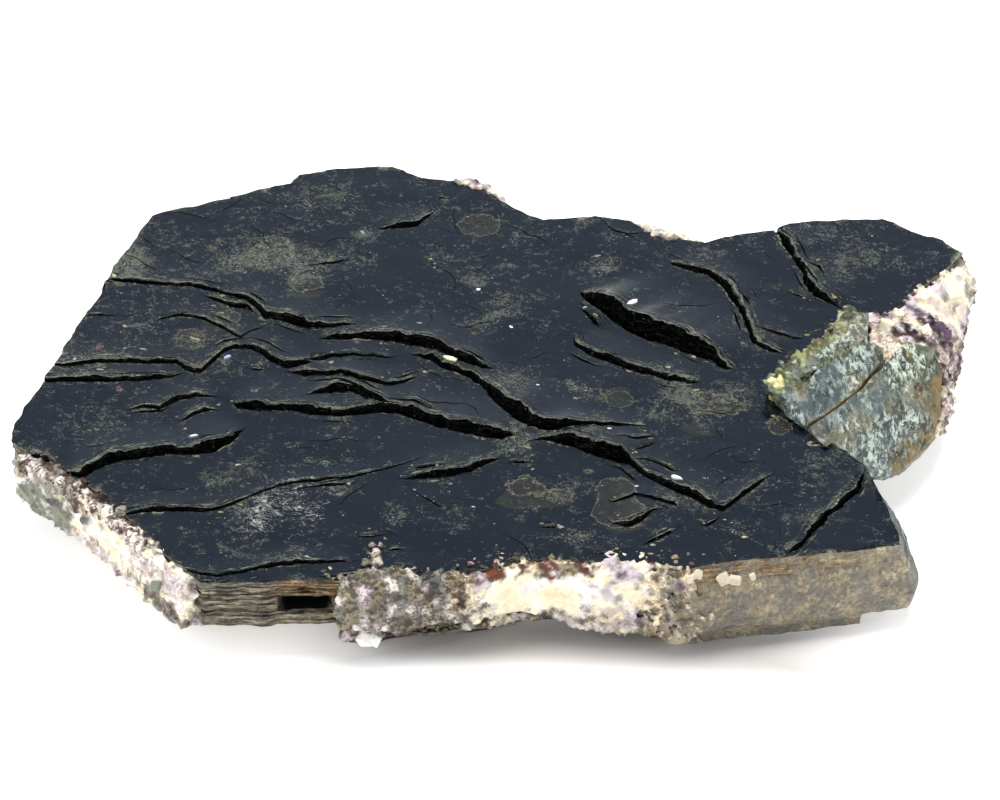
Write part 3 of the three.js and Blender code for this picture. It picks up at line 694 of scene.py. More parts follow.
# Each crack in order from its left end: x, y and how wide it gapes there.
cracks = [
    [(-46.6, 25.1, 0.2), (-41.3, 24.3, 0.35), (-37.4, 23.7, 0.35), (-34.8, 23.1, 0.4), (-32.6, 22.3, 0.4),
     (-30.5, 21.4, 0.35), (-28.8, 20.6, 0.4), (-27.7, 19.4, 0.5), (-26.5, 17.2, 0.9), (-24.7, 16.8, 0.9),
     (-22.9, 15.8, 0.9), (-21.4, 15.2, 0.8), (-18.8, 15.2, 0.6), (-17.4, 15.4, 0.4), (-14.8, 15.6, 0.1)],
    [(-34.3, 21.8, 0.1), (-32, 20.4, 0.4), (-30.4, 19.2, 0.4), (-28.8, 19, 0.4), (-27.5, 17.6, 0.2)],
    [(-40.1, 15.8, 0.1), (-38.8, 16.6, 0.35), (-37, 17.4, 0.35), (-35.1, 17.4, 0.35), (-33.2, 16.4, 0.35),
     (-31.2, 14.8, 0.35), (-29.8, 13.2, 0.35), (-29.1, 12.8, 0.3), (-28.2, 14, 0.3), (-26.6, 15, 0.3),
     (-26.1, 16.2, 0.1)],
    [(-48.8, 17.4, 0.1), (-45.8, 17.6, 0.18), (-43.2, 17.4, 0.08)],
    [(-51.6, 7.7, 0.3), (-47.5, 7.7, 0.45), (-44.7, 8.1, 0.45), (-39.5, 7.9, 0.45), (-36.4, 8.1, 0.45),
     (-34.5, 6.5, 0.5), (-33.4, 6.3, 0.55), (-32.3, 8.1, 0.55), (-31, 10.2, 0.55), (-30, 11, 0.55),
     (-28.3, 11.2, 0.55), (-26.8, 10.4, 0.55), (-25.2, 8.7, 0.6), (-23.9, 7.7, 0.7), (-22.6, 7.7, 0.7),
     (-19.8, 8.3, 0.2)],
    [(-52.8, 4.6, 0.4), (-47.2, 4.4, 0.5), (-43.6, 4.6, 0.5), (-39.9, 5, 0.45), (-37, 5.4, 0.4),
     (-34.9, 6.2, 0.1)],
    [(-45.6, 2.9, 0.1), (-44.6, 3.6, 0.2), (-43.3, 4, 0.1)],
    [(-28.2, 7.1, 0.1), (-27.2, 6.7, 0.35), (-25.3, 6.7, 0.1)],
    [(-24.1, 6.5, 0.2), (-21.6, 5.9, 0.5), (-19.6, 5.9, 0.5), (-17.2, 5.7, 0.5), (-15.7, 5, 0.5),
     (-14.2, 4.4, 0.45), (-11.7, 4, 0.4), (-9.9, 4.4, 0.4), (-8.7, 5.4, 0.3), (-7.8, 6.5, 0.1)],
    [(-20.4, 12.8, 0.4), (-17.5, 12.8, 0.7), (-14.8, 13.2, 0.7), (-12.5, 13, 0.7), (-10.3, 12.6, 0.9),
     (-8.1, 12, 1), (-6.2, 10.6, 1.05), (-4.3, 9.2, 1.05), (-2.4, 7.9, 1), (-0.8, 6.9, 0.7),
     (0.9, 6.7, 0.1)],
    [(-9.6, 10.2, 0.3), (-7.2, 9.1, 0.7), (-5.8, 7.5, 0.7), (-3.6, 6.5, 0.7), (-2.1, 5.6, 0.7),
     (-1.2, 4.6, 0.7), (0.1, 2.7, 0.8), (1.6, 0, 1.1), (2.9, -1.7, 1.4), (4, -2.8, 1.4), (6, -4.1, 1.4),
     (7.6, -4.7, 1.4), (10, -4.5, 0.6), (11.8, -3.9, 0.3), (13.1, -4.1, 0.3), (15.1, -4.1, 0.25),
     (17.2, -3.8, 0.2), (18.5, -3.8, 0.05)],
    [(-22.1, 8.5, 0.1), (-19.9, 8.9, 0.35), (-18.4, 9.4, 0.4), (-15.9, 9.6, 0.35), (-13.7, 9.6, 0.35),
     (-11.7, 9.1, 0.3), (-10.3, 9.7, 0.1)],
    [(-18.2, 4.8, 0.1), (-16.3, 3.4, 0.4), (-14, 1.7, 0.4), (-12.1, 0.9, 0.1)],
    [(-29.8, 0.9, 0.3), (-28.6, 0, 0.9), (-26.3, -0.6, 0.9), (-22.5, -0.8, 0.8), (-19.8, -1.5, 0.7),
     (-17.1, -1.7, 0.7), (-14.4, -1.3, 0.7), (-12.2, -0.9, 0.8), (-9.8, -1.3, 1.1), (-8.2, -2.3, 1.1),
     (-6, -3.4, 1.15), (-3.5, -4.5, 1.15), (-1.1, -5.4, 1.1), (1.3, -5.9, 1), (3.6, -5.6, 0.3)],
    [(-21.8, 1.5, 0.2), (-19.4, 2.1, 0.6), (-17.5, 2.9, 0.8), (-15.7, 2.7, 0.8), (-13.9, 1.3, 0.8),
     (-12.2, 0.2, 0.6), (-10.9, -0.2, 0.2)],
    [(3.7, -6.5, 0.2), (5.6, -6.5, 0.4), (7.4, -6.7, 0.8), (8.9, -7.1, 1.4), (10.9, -8.2, 1.5),
     (12.9, -9.3, 1.5), (14.5, -10.1, 1.4), (15.7, -11, 1), (17.2, -13.2, 0.7), (18.9, -14.4, 0.7),
     (20.4, -15.3, 0.7), (22.1, -16.4, 0.7), (23.3, -17.6, 0.7), (24.6, -18.7, 0.7), (25.8, -19.4, 0.6),
     (27.1, -17.8, 0.6), (28.2, -16.4, 0.6), (30.1, -14.4, 0.55), (31.3, -13, 0.4), (32.4, -11.7, 0.1)],
    [(15.8, -9.1, 0.1), (17.6, -7.9, 0.3), (19.1, -6.9, 0.1)],
    [(13.5, -6.7, 0.1), (16.1, -6.6, 0.2), (18.1, -6, 0.2), (19.7, -5.6, 0.05)],
    [(15.9, -10.8, 0.1), (17.5, -10.4, 0.4), (19.1, -11.3, 0.4), (20.3, -12.6, 0.35), (21.5, -12.6, 0.1)],
    [(22.5, -21.5, 0.1), (23.7, -22.1, 0.3), (24.7, -21.4, 0.3), (25.8, -19.8, 0.1)],
    [(12.6, -17.3, 0.2), (13.5, -18, 0.35), (14.8, -17.5, 0.4), (16, -16.6, 0.4), (17.1, -16.9, 0.4),
     (18.8, -17.6, 0.4), (20.3, -18, 0.35), (21.4, -19.3, 0.3)],
    [(12.5, -20.1, 0.2), (13.5, -21.5, 0.5), (15.4, -21.9, 0.5), (16.7, -20.8, 0.5), (18, -19.4, 0.45),
     (19.7, -19.1, 0.1)],
    [(5.2, -22.2, 0.1), (6.7, -22.2, 0.4), (8.2, -22.2, 0.1)],
    [(16.4, -25.5, 0.1), (17.3, -24.9, 0.25), (19.6, -23.3, 0.25), (20.9, -22.1, 0.1)],
    [(10.6, -26.8, 0.1), (13.6, -26.8, 0.2), (15.1, -26.4, 0.1)],
    [(10.4, 22.4, 0.3), (11, 21.8, 1), (12.6, 20.3, 1.5), (14, 18.2, 1.8), (15.5, 16.2, 1.9),
     (17, 14.6, 1.9), (18.8, 13.4, 1.9), (21.3, 12.2, 1.9), (23.5, 10.6, 1.9), (25.6, 9.1, 1.5),
     (26.9, 7.3, 0.9), (28.4, 6.6, 0.2)],
    [(10.2, 19.4, 0.1), (11.2, 18, 0.4), (12.3, 16.2, 0.4), (13.2, 14.6, 0.1)],
    [(9.5, 13.8, 0.2), (10, 11.4, 0.5), (11.8, 9.8, 0.6), (13.8, 8.7, 0.6), (16, 7.1, 0.6),
     (18.2, 6.3, 0.6), (20.5, 5, 0.6), (22.9, 4.2, 0.5), (24.8, 4.2, 0.1)],
    [(20.9, 28.7, 0.2), (22.6, 27.8, 0.5), (24.5, 26.8, 0.55), (26.3, 25.7, 0.55), (27.7, 23.9, 0.55),
     (28.6, 21, 0.55), (29.7, 18, 0.55), (30.2, 15.2, 0.55), (30.7, 11.9, 0.55), (32.9, 10.6, 0.5),
     (34.6, 9.8, 0.2)],
    [(30.6, 15, 0.1), (32.7, 14, 0.35), (35.5, 13, 0.35), (37.3, 12.9, 0.1)],
    [(34.3, 36.8, 0.6), (34.6, 35.6, 0.6), (35.5, 32.9, 0.6), (36.4, 29.1, 0.6), (37.4, 25.3, 0.65),
     (38.4, 22.3, 0.65), (39.6, 20.6, 0.6), (41.3, 19, 0.5), (42.1, 18.2, 0.2)],
    [(34.5, 22.5, 0.05), (36.6, 21.4, 0.25), (38.1, 20.2, 0.1)],
    [(37, 28.5, 0.1), (39.3, 27, 0.3), (40.4, 23.7, 0.1)],
    [(20.3, 31.2, 0.05), (23.2, 28.5, 0.15), (25.1, 26.6, 0.05)],
    [(-14.1, 35.2, 0.2), (-12.1, 35.6, 0.5), (-8.9, 36.3, 0.5), (-7.6, 38.4, 0.5), (-6.7, 39.4, 0.1)],
    [(-7, 42.1, 0.1), (-5.8, 42.2, 0.4), (-4.7, 42.1, 0.1)],
    [(-22.8, 27.8, 0.1), (-19.5, 28.2, 0.3), (-16.6, 29.3, 0.1)],
    [(-48.9, -12.2, 0.5), (-45.7, -13.3, 0.8), (-44.4, -11.7, 0.9), (-42.8, -10.4, 0.9), (-40, -9.7, 0.95),
     (-36.5, -9.1, 0.95), (-33.2, -8.8, 0.9), (-31, -8.2, 0.9), (-29.3, -7.1, 0.8), (-28.2, -5.3, 0.6),
     (-27.5, -4.1, 0.2)],
    [(-52.4, -9, 0.3), (-49.6, -10.4, 0.5), (-48, -11.3, 0.2)],
    [(-41, -20.1, 0.3), (-37.3, -19.2, 0.4), (-33.8, -19.2, 0.4), (-30.3, -19.2, 0.3), (-26.7, -16.9, 0.2),
     (-23.1, -15, 0.2), (-20.7, -14.2, 0.2), (-16.7, -13.7, 0.2), (-13.9, -12.6, 0.2),
     (-11.5, -11.9, 0.15), (-6.7, -9.5, 0.05)],
    [(-34.6, -28.9, 0.2), (-32.3, -30.2, 0.35), (-29.5, -30.8, 0.35), (-27.6, -30.3, 0.35),
     (-25.3, -29.5, 0.35), (-22.5, -28.6, 0.35), (-19.1, -28.5, 0.35), (-16.2, -28.3, 0.3),
     (-13.8, -28, 0.1)],
    [(-42.1, -1.1, 0.1), (-39.8, -0.6, 0.4), (-37.7, -0.6, 0.4), (-36.2, 0.9, 0.4), (-34.3, 1.7, 0.4),
     (-32.3, 1.9, 0.35), (-30.4, 1.5, 0.1)],
    [(-35.9, -3.6, 0.1), (-34.5, -2.8, 0.3), (-33.6, -1.7, 0.3), (-32.2, -0.9, 0.3), (-30.1, -1.1, 0.1)],
    [(-10.6, -13.7, 0.2), (-7.7, -13.3, 0.6), (-4.2, -12.8, 0.6), (-2.3, -12.2, 0.6), (-0.7, -10.8, 0.6),
     (1.6, -9.7, 0.1)],
    [(1.4, -10.7, 0.1), (3, -10.7, 0.3), (5.2, -10.7, 0.1)],
    [(-9.3, -15, 0.05), (-7.6, -16.9, 0.15), (-5.6, -18.5, 0.15), (-3.7, -19.2, 0.05)],
    [(-15.1, -23.8, 0.05), (-13.2, -23.8, 0.25), (-11, -23.6, 0.1)],
    [(-11.7, -26.8, 0.1), (-10.3, -26.2, 0.4), (-9.1, -26.1, 0.1)],
    [(0.2, -26.6, 0.1), (1, -26.8, 0.3), (1.8, -26.8, 0.1)],
    [(-19.1, -31, 0.1), (-15.8, -30.6, 0.3), (-13.5, -30.2, 0.1)],
    [(32.2, -27.3, 0.4), (34.4, -25, 0.5), (36.2, -22.4, 0.5), (37.5, -20.1, 0.5), (39.4, -17.8, 0.5),
     (40.9, -15.7, 0.45), (41.9, -12.1, 0.2)],
    [(36, -7.9, 0.1), (36.5, -7.5, 0.25), (36.9, -7.2, 0.1)],
]


# A crack, seen along the straight line between its ends: u runs along that line and v to the back of it.
class Crack:
    def __init__(self, points, number, lift=None):
        points = np.array(points, float)
        self.start = points[0, :2]
        along = points[-1, :2] - self.start
        self.length = np.hypot(*along)
        self.along = along / self.length
        self.back = np.array((-self.along[1], self.along[0]))
        if self.back[1] + 0.3 * self.back[0] < 0:
            self.back = -self.back
        offset = points[:, :2] - self.start
        us, vs = offset @ self.along, offset @ self.back
        self.widest = points[:, 2].max()
        self.number = number
        wander = latticeNoise(1000 + number)

        step = face["lineStep"] * (1 if self.widest > 0.5 else 1.5)
        self.u = u = np.linspace(0, self.length, max(5, int(self.length / step)))
        ends = smoothStep(0, face["taper"], u) * smoothStep(0, face["taper"], self.length - u)
        rng = np.random.default_rng(face["seed"] + 50 + number)

        # A line that runs straight from corner to corner, so many millimetres apart.
        def angular(low, high):
            corners = np.cumsum(rng.uniform(low, high, int(self.length / low) + 3)) - high
            return np.interp(u, corners, rng.uniform(-1, 1, len(corners)))

        uneven = 1 + 0.3 * angular(1.2, 3.5) + 0.1 * angular(0.3, 0.9)
        opening = np.interp(u, us, points[:, 2]) * uneven * (0.03 + 0.97 * ends)
        rough = face["wander"] * min(1, 0.35 + self.widest)
        middle = np.interp(u, us, vs) + rough * (angular(1.5, 4) + 0.25 * angular(0.5, 1.5))

        # The edges jump where sheets have broken off square.
        def jogs(row, wave):
            cell = np.floor(u / wave)
            return wander(cell + smoothStep(0.8, 1, u / wave - cell), row)

        jog = face["jog"][0] * smoothStep(0.1, 0.4, opening) + face["jog"][1] * np.minimum(opening, 0.5)
        jog *= 0.4 if lift else 1
        fray = face["fray"] * np.minimum(1, opening / 0.4)
        self.front = middle - 0.5 * opening + jog * (jogs(50.5, 1.7) + 0.8 * jogs(53.5, 0.6))
        self.lip = middle + 0.5 * opening + jog * (jogs(56.5, 1.4) + jogs(59.5, 0.5))
        self.front = self.front + 0.6 * fray * wander(u / 0.24, 70.5)
        self.lip = self.lip + fray * wander(u / 0.22, 73.5)
        self.lip = np.maximum(self.lip, self.front + np.maximum(0.02, 0.35 * opening))
        self.gap = self.lip - self.front
        self.rise = (face["liftPerOpening"] if lift is None else lift) * opening
        self.rise *= smoothStep(-0.5, 4, u) * smoothStep(-0.5, 4, self.length - u)
        deep = face["leastDepth"] * np.minimum(1, 0.35 + opening) + face["depthPerOpening"] * opening
        self.depth = np.minimum(1, opening / 0.12) * deep

        # Treads of the stair of broken sheets, as shares of the opening.
        riser = self.widest * (face["liftPerOpening"] + face["depthPerOpening"]) + face["leastDepth"]
        count = int(np.clip(round(face["riserShare"] * riser / face["sheetStep"]), 1, face["mostTreads"]))
        count = count if self.widest > 0.25 else 1
        self.wall = np.minimum(face["wallWidth"] / self.gap, 0.3)
        foot = 1 - face["riserShare"]
        self.treads = []
        for j in range(count):
            share = (j + 0.5 + 0.9 * wander(u / 1.7 + 3.1 * j, 40.5 + j)) / (count + 0.5) * (1 - 0.45 / count)
            self.treads.append(foot + face["riserShare"] * share)
        self.treads.append(1 - 1.01 * face["riserShare"] * self.wall)

    def toPlan(self, v):
        return self.start + np.outer(self.u, self.along) + np.outer(v, self.back)

    # The lines in plan that the face's mesh follows to show this crack.
    def seamLines(self):
        shares = [0 * self.u, self.wall]
        for tread in self.treads:
            shares += [tread, tread + self.wall]
        for share in shares:
            yield self.toPlan(self.front + self.gap * share)

    # For points in plan, which are near enough to the crack, and for those the values that faceAt takes up.
    def shaped(self, x, y):
        offX, offY = x - self.start[0], y - self.start[1]
        u = offX * self.along[0] + offY * self.along[1]
        v = offX * self.back[0] + offY * self.back[1]
        near = (u > 0) & (u < self.length) & (v > self.front.min() - 2)
        near &= v < self.lip.max() + face["liftReach"]
        if not near.any():
            return near, 0, 0, 0, 0, 0
        u, v = u[near], v[near]

        def at(values):
            return np.interp(u, self.u, values)

        front, gap, rise, wall = at(self.front), at(self.gap), at(self.rise), at(self.wall)
        past = v - front - gap
        run = face["shortestRamp"] * min(1, 0.3 + self.widest) + face["rampPerLift"] * rise
        settle = np.clip(1 - past / run, 0, 1)
        lifted = np.where(past >= 0, rise * settle * settle * (1.6 - 0.6 * settle), 0)
        local = (v - front) / gap
        level = -at(self.depth) * np.clip(local / wall, 0, 1)
        for tread in self.treads:
            level += (at(self.depth) + rise) / len(self.treads) * np.clip((local - at(tread)) / wall, 0, 1)
        level = np.where((local > 0) & (past < 0), level, 0)
        lipNear = np.where(past >= -0.03, np.exp(-np.maximum(past, 0) / face["lipReach"]), 0)
        lipNear += np.where(local <= 0, 0.6 * np.exp(local * gap / (0.6 * face["lipReach"])), 0)
        inSlot = np.clip(np.minimum(v - front, -past) / 0.12, 0, 1)
        across = np.where(past > 0, past, np.where(local < 0, local * gap, 0))
        return near, lifted, level, lipNear * np.minimum(1, 2.4 * gap), inSlot, across + 5 * self.number


# Short broken edges of the topmost sheets, scattered in the grain of the big cracks but clear of them.
def fineEdgeLines():
    rng = np.random.default_rng(face["seed"])
    taken = np.concatenate([np.array([p[:2] for p in crack]) for crack in cracks])
    lines = []
    while len(lines) < face["fineEdges"]:
        x, y = rng.uniform(-50, 50), rng.uniform(-30, 46)
        heading = rng.normal(-0.25, 0.45)
        count = rng.integers(4, 9)
        points = []
        for n in range(count):
            points.append((x, y, 0.07 if 0 < n < count - 1 else 0.03))
            heading += rng.normal(0, 0.5)
            x, y = x + face["fineEdgeStep"] * math.cos(heading), y + face["fineEdgeStep"] * math.sin(heading)
        middle = np.array(points)[:, None, :2]
        if np.hypot(*np.moveaxis(middle - taken, 2, 0)).min() > face["fineEdgeRoom"]:
            lines.append(points)
    return lines


# Thin splits that run beside the cracks, in front or behind.
def splinterLines():
    rng = np.random.default_rng(face["seed"] + 2)
    lines = []
    for crack in cracks:
        points = np.array(crack)
        run = runAlong(points[:, :2])
        if run[-1] < face["splinterBy"][0] or points[:, 2].max() < face["splinterBy"][1]:
            continue
        for _ in range(rng.poisson(face["splinters"] * run[-1])):
            length = min(rng.uniform(1.8, 7), 0.7 * run[-1])
            first = rng.uniform(0, run[-1] - length)
            at = np.linspace(first, first + length, int(length) + 3)
            place = np.stack([np.interp(at, run, points[:, k]) for k in (0, 1, 2)], axis=1)
            ahead = np.gradient(place[:, :2], axis=0)
            back = np.column_stack([-ahead[:, 1], ahead[:, 0]]) / np.linalg.norm(ahead, axis=1)[:, None]
            behind = rng.choice([-1, 1], p=(0.4, 0.6))
            off = 0.5 * place[:, 2].max() + rng.uniform(0.3, 1.3) + rng.uniform(-0.1, 0.1, len(at)).cumsum()
            plan = place[:, :2] + back * (behind * off)[:, None]
            if nearestRim(*plan.T)[2].min() < face["splinterRoom"]:
                continue
            bell = np.sin(np.linspace(0.15, 3, len(at)))
            gape = rng.uniform(*face["splinterOpening"]) * bell
            lines.append(np.column_stack([plan, gape]))
    return lines


allCracks = [Crack(points, n) for n, points in enumerate(cracks)]
allCracks += [Crack(points, 100 + n, lift=0.6) for n, points in enumerate(splinterLines())]
allCracks += [Crack(points, 200 + n, lift=1.0) for n, points in enumerate(fineEdgeLines())]
faceWaves = latticeNoise(3)


# The face at points in plan: its height, how far it drops in a slot, how near to a broken lip it is, how far
# down in a slot, and how far across from the nearest crack's edge.
def faceAt(x, y):
    height = bookThickness + face["waviness"] * faceWaves(x / 9, y / 9)
    drops, lips, slots, acrosses = np.zeros((4, len(x)))
    for crack in allCracks:
        near, lifted, level, lipNear, inSlot, across = crack.shaped(x, y)
        if near.any():
            height[near] += lifted
            drops[near] = np.where(np.abs(level) > np.abs(drops[near]), level, drops[near])
            acrosses[near] = np.where(lipNear > np.maximum(lips[near], 0.02), across, acrosses[near])
            lips[near] = np.maximum(lips[near], lipNear)
            slots[near] = np.maximum(slots[near], inSlot)
    lips = np.maximum(lips, face["rimDust"] * np.exp(-nearestRim(x, y)[2] / face["lipReach"]))
    return height, drops, lips, slots, acrosses


# The rim as a closed line of points, a little ragged.
def rimPoints():
    ragged = latticeNoise(11)
    points = []
    run = 0.0
    for (x0, y0, _), (x1, y1, _) in zip(rim, rim[1:] + rim[:1]):
        length = math.hypot(x1 - x0, y1 - y0)
        count = max(1, round(length / face["rimStep"]))
        outX, outY = -(y1 - y0) / length, (x1 - x0) / length
        for n in range(count):
            share = n / count
            s = run + share * length
            off = float(0.26 * ragged(s / 2.1, 0.5) + 0.16 * ragged(s / 0.7, 5.5)) - 0.12
            points.append((x0 + (x1 - x0) * share + outX * off, y0 + (y1 - y0) * share + outY * off))
        run += length
    return np.array(points)


# The face as triangles: its points, their faces, and the points on its rim in order.
def faceMesh():
    outline = rimPoints()
    plan = [tuple(p) for p in outline]
    edges = [(n, (n + 1) % len(plan)) for n in range(len(plan))]
    for crack in allCracks:
        for line in crack.seamLines():
            first = len(plan)
            plan += [tuple(p) for p in line]
            edges += [(n, n + 1) for n in range(first, len(plan) - 1)]
    rng = np.random.default_rng(face["seed"] + 1)
    step = face["fieldStep"]
    gridX, gridY = np.meshgrid(np.arange(-56, 60, step), np.arange(-34, 51, step))
    gridX = (gridX + rng.uniform(-0.3, 0.3, gridX.shape) * step).ravel()
    gridY = (gridY + rng.uniform(-0.3, 0.3, gridY.shape) * step).ravel()
    inside = insidePolygon(gridX, gridY, outline)
    plan += list(zip(gridX[inside], gridY[inside]))
    points, faces, _ = planTriangles(plan, edges, outline)
    used, faces = np.unique(faces, return_inverse=True)
    points, faces = points[used], faces.reshape(-1, 3)
    return points, faces, openLoop(faces)


# The longest loop of edges that only one face uses, in the faces' own direction.
def openLoop(faces):
    edges = np.concatenate([faces[:, [0, 1]], faces[:, [1, 2]], faces[:, [2, 0]]])
    forward = {(a, b) for a, b in edges.tolist()}
    following = {}
    for a, b in forward:
        if (b, a) not in forward:
            following.setdefault(a, []).append(b)
    loops = []
    while following:
        start = next(iter(following))
        loop, here = [start], start
        while True:
            steps = following.get(here)
            if not steps:
                break
            there = steps.pop()
            if not steps:
                del following[here]
            if there == start:
                break
            loop.append(there)
            here = there
        loops.append(loop)
    loops.sort(key=len, reverse=True)
    print("face rim:", len(loops[0]), "points; other open loops:", [len(loop) for loop in loops[1:6]])
    return np.array(loops[0])


side = {
    "sheets": 30,
    "ringStep": 0.55,  # the least spacing of points round the side
    "lumps": 0.14,  # how bumpy the granular stretch is
    "middles": (0.7, 2.35, 4.2, 5.7, 7.1, 8.4, 9.6),  # heights at which the next two are given
    "insets": (1.5, 0.75, 0.25, 0.45, 0.18, 0.3, 0.03),
    "flares": (0.88, 0.95, 0.88, 0.76, 0.54, 0.26, 0.04),
    "ledge": 0.2,
    "bite": 0.55,
    "flush": 0.12,  # how far the side may stand out where it has no flare
    "waves": 0.03,  # how far a sheet's edge strays up and down
    "front": -22,  # y behind which it is no longer the front side
    "corner": -19,  # and the same with the right-hand corner
    "granular": (17, 21),  # x over which the sheets give way to granular rock
    "pit": {"left": -22.6, "right": -17.3, "low": 5.4, "high": 7.7, "depth": 3.4},
    "thinCorner": {"left": -37, "right": -16.5, "height": 3.7, "depth": 4.5},
    "chip": {"left": 41.6, "height": 1.7, "depth": 2.2},
    "seed": 21,
}


def rollMean(values, reach):
    return sum(np.roll(values, n, axis=0) for n in range(-reach, reach + 1)) / (2 * reach + 1)


# The rim's points without those that lie closer together than the side needs.
def spacedRing(ring):
    kept = [0]
    for n in range(1, len(ring)):
        if np.hypot(*(ring[n, :2] - ring[kept[-1], :2])) >= side["ringStep"]:
            kept.append(n)
    return ring[kept]


# Triangles between two rings of different counts, given as vertex numbers, that run round the same way.
def zipped(upper, lower, points):
    def shares(ring):
        run = runAlong(points[np.append(ring, ring[0]), :2])
        return run / run[-1]

    above, below = shares(upper), shares(lower)
    faces, i, j = [], 0, 0
    while i < len(upper) or j < len(lower):
        a, b = upper[i % len(upper)], lower[j % len(lower)]
        if j == len(lower) or (i < len(upper) and above[i + 1] <= below[j + 1]):
            i += 1
            faces.append((a, b, upper[i % len(upper)]))
        else:
            j += 1
            faces.append((a, b, lower[j % len(lower)]))
    return np.array(faces)


# How granular the side is at points in plan.
def granularAt(x, y):
    return np.where(y < side["corner"], smoothStep(*side["granular"], x), 0)


# Rings of points under the rim, one above and one below each sheet's edge.
def sideRings(ring):
    rng = np.random.default_rng(side["seed"])
    count = len(ring)
    x, y, top = ring.T
    grainy = granularAt(x, y)
    along, flare, _ = nearestRim(x, y)
    flare = rollMean(flare, 3)
    tangent = np.roll(ring[:, :2], -2, axis=0) - np.roll(ring[:, :2], 2, axis=0)
    outward = np.column_stack([tangent[:, 1], -tangent[:, 0]])
    outward = rollMean(outward / np.linalg.norm(outward, axis=1)[:, None], 4)
    outward /= np.linalg.norm(outward, axis=1)[:, None]
    thickness = rng.lognormal(0, 0.55, side["sheets"])
    bottoms = bookThickness - np.cumsum(thickness) * bookThickness / thickness.sum()
    tops = np.concatenate([[bookThickness], bottoms[:-1]])
    ledges, bites = latticeNoise(31), latticeNoise(32)

    # How far the side stands out at a height, by the shares of its flare and by its insets.
    def profile(z):
        return [np.interp(z, side["middles"], side[key]) for key in ("flares", "insets")]

    # The granular stretch isn't split into sheets.
    def worn(z):
        share, inset = profile(z)
        bumps = ledges(along / 0.8, 90 + z / 0.9) + ledges(along / 3, 95 + z / 2.5)
        return flare * share - inset + side["lumps"] * bumps

    pit, corner, chip = side["pit"], side["thinCorner"], side["chip"]
    front = y < side["front"]
    inPit = front & (x > pit["left"]) & (x < pit["right"])
    atCorner = np.where(front, smoothStep(corner["left"], corner["left"] + 3, x)
                        * smoothStep(corner["right"] + 0.8, corner["right"] - 0.8, x), 0)
    atChip = np.where((y < side["corner"]) & (x > chip["left"]), 1.0, 0.0)
    rings = []
    for k, (high, low) in enumerate(zip(tops, bottoms)):
        middle = (high + low) / 2
        share, inset = profile(middle)
        ledge = side["ledge"] * (0.5 * ledges(along / 6, k * 0.9) + 0.5 * ledges(along / 0.9, 30 + k * 2.3))
        bite = side["bite"] * smoothStep(0.35, 0.6, bites(along / 5, k * 0.6))
        distance = flare * share - inset + ledge - bite * min(1, inset + 0.35)
        if k == 0:
            distance = np.zeros(count) + 0.02 * ledges(along, 3.3)
        distance = np.minimum(distance, np.where(flare < 0.05, side["flush"], np.inf))
        distance = np.where(inPit & (middle > pit["low"]) & (middle < pit["high"]), -pit["depth"], distance)
        cut = corner["depth"] * atCorner * (middle < corner["height"])
        cut += chip["depth"] * atChip * (middle < chip["height"])
        waves = side["waves"] * ledges(along / 12, 60 + k)
        for edge in (high, low):
            if k == 0 and edge == high:
                continue
            out = distance * (1 - grainy) + worn(edge) * grainy - cut
            place = ring[:, :2] + outward * out[:, None]
            z = edge + (waves if 0 < edge < bookThickness else 0)
            ceiling = top - 0.03 * (len(rings) + 1) * edge / bookThickness
            rings.append(np.column_stack([place, np.minimum(z, ceiling)]))
    rings[-1][:, 2] = 0
    return rings


# The underside, closed over the lowest ring. A vertex that the triangles add goes to the nearest of the ring.
def undersideFaces(ring):
    plan = ring[:, :2]
    count = len(plan)
    edges = [(n, (n + 1) % count) for n in range(count)]
    points, faces, source = planTriangles([tuple(p) for p in plan], edges, plan)
    for n in np.nonzero(source < 0)[0]:
        source[n] = np.argmin(np.hypot(*(plan - points[n]).T))
    faces = source[faces]
    whole = (faces[:, 0] != faces[:, 1]) & (faces[:, 1] != faces[:, 2]) & (faces[:, 2] != faces[:, 0])
    return faces[whole][:, ::-1]


# What the side is made of at each of its points: granular rock, rusty sheets or pale cleaved sheets.
def sideValues(points):
    x, y, z = points.T
    front = y < side["front"]
    rust = np.where(front, smoothStep(-25.5, -22, x) * smoothStep(-14.5, -17, x) * smoothStep(6.2, 8.4, z), 0)
    rust += np.where(front, smoothStep(20, 23, x) * smoothStep(43, 36, x) * smoothStep(7.2, 8.6, z), 0)
    creamy = np.where(front, smoothStep(25.5, 18, x + 0.35 * z), 0)
    granular = granularAt(x, y)
    pit = side["pit"]
    # The pit in the front side, which is painted near-black as shade.
    dark = front & (y > -31.3) & (x > pit["left"] - 0.2) & (x < pit["right"] + 0.2)
    dark &= (z > pit["low"] - 0.1) & (z < pit["high"] + 0.1)
    pale = smoothStep(41.4, 42.4, x) * smoothStep(-25.3, -23.5, y) * smoothStep(-6, -8, y)
    pale *= smoothStep(0.2, 0.7, z)
    return {"rust": rust, "granular": granular * (1 - pale), "pale": pale, "pit": dark.astype(float),
            "creamy": creamy}


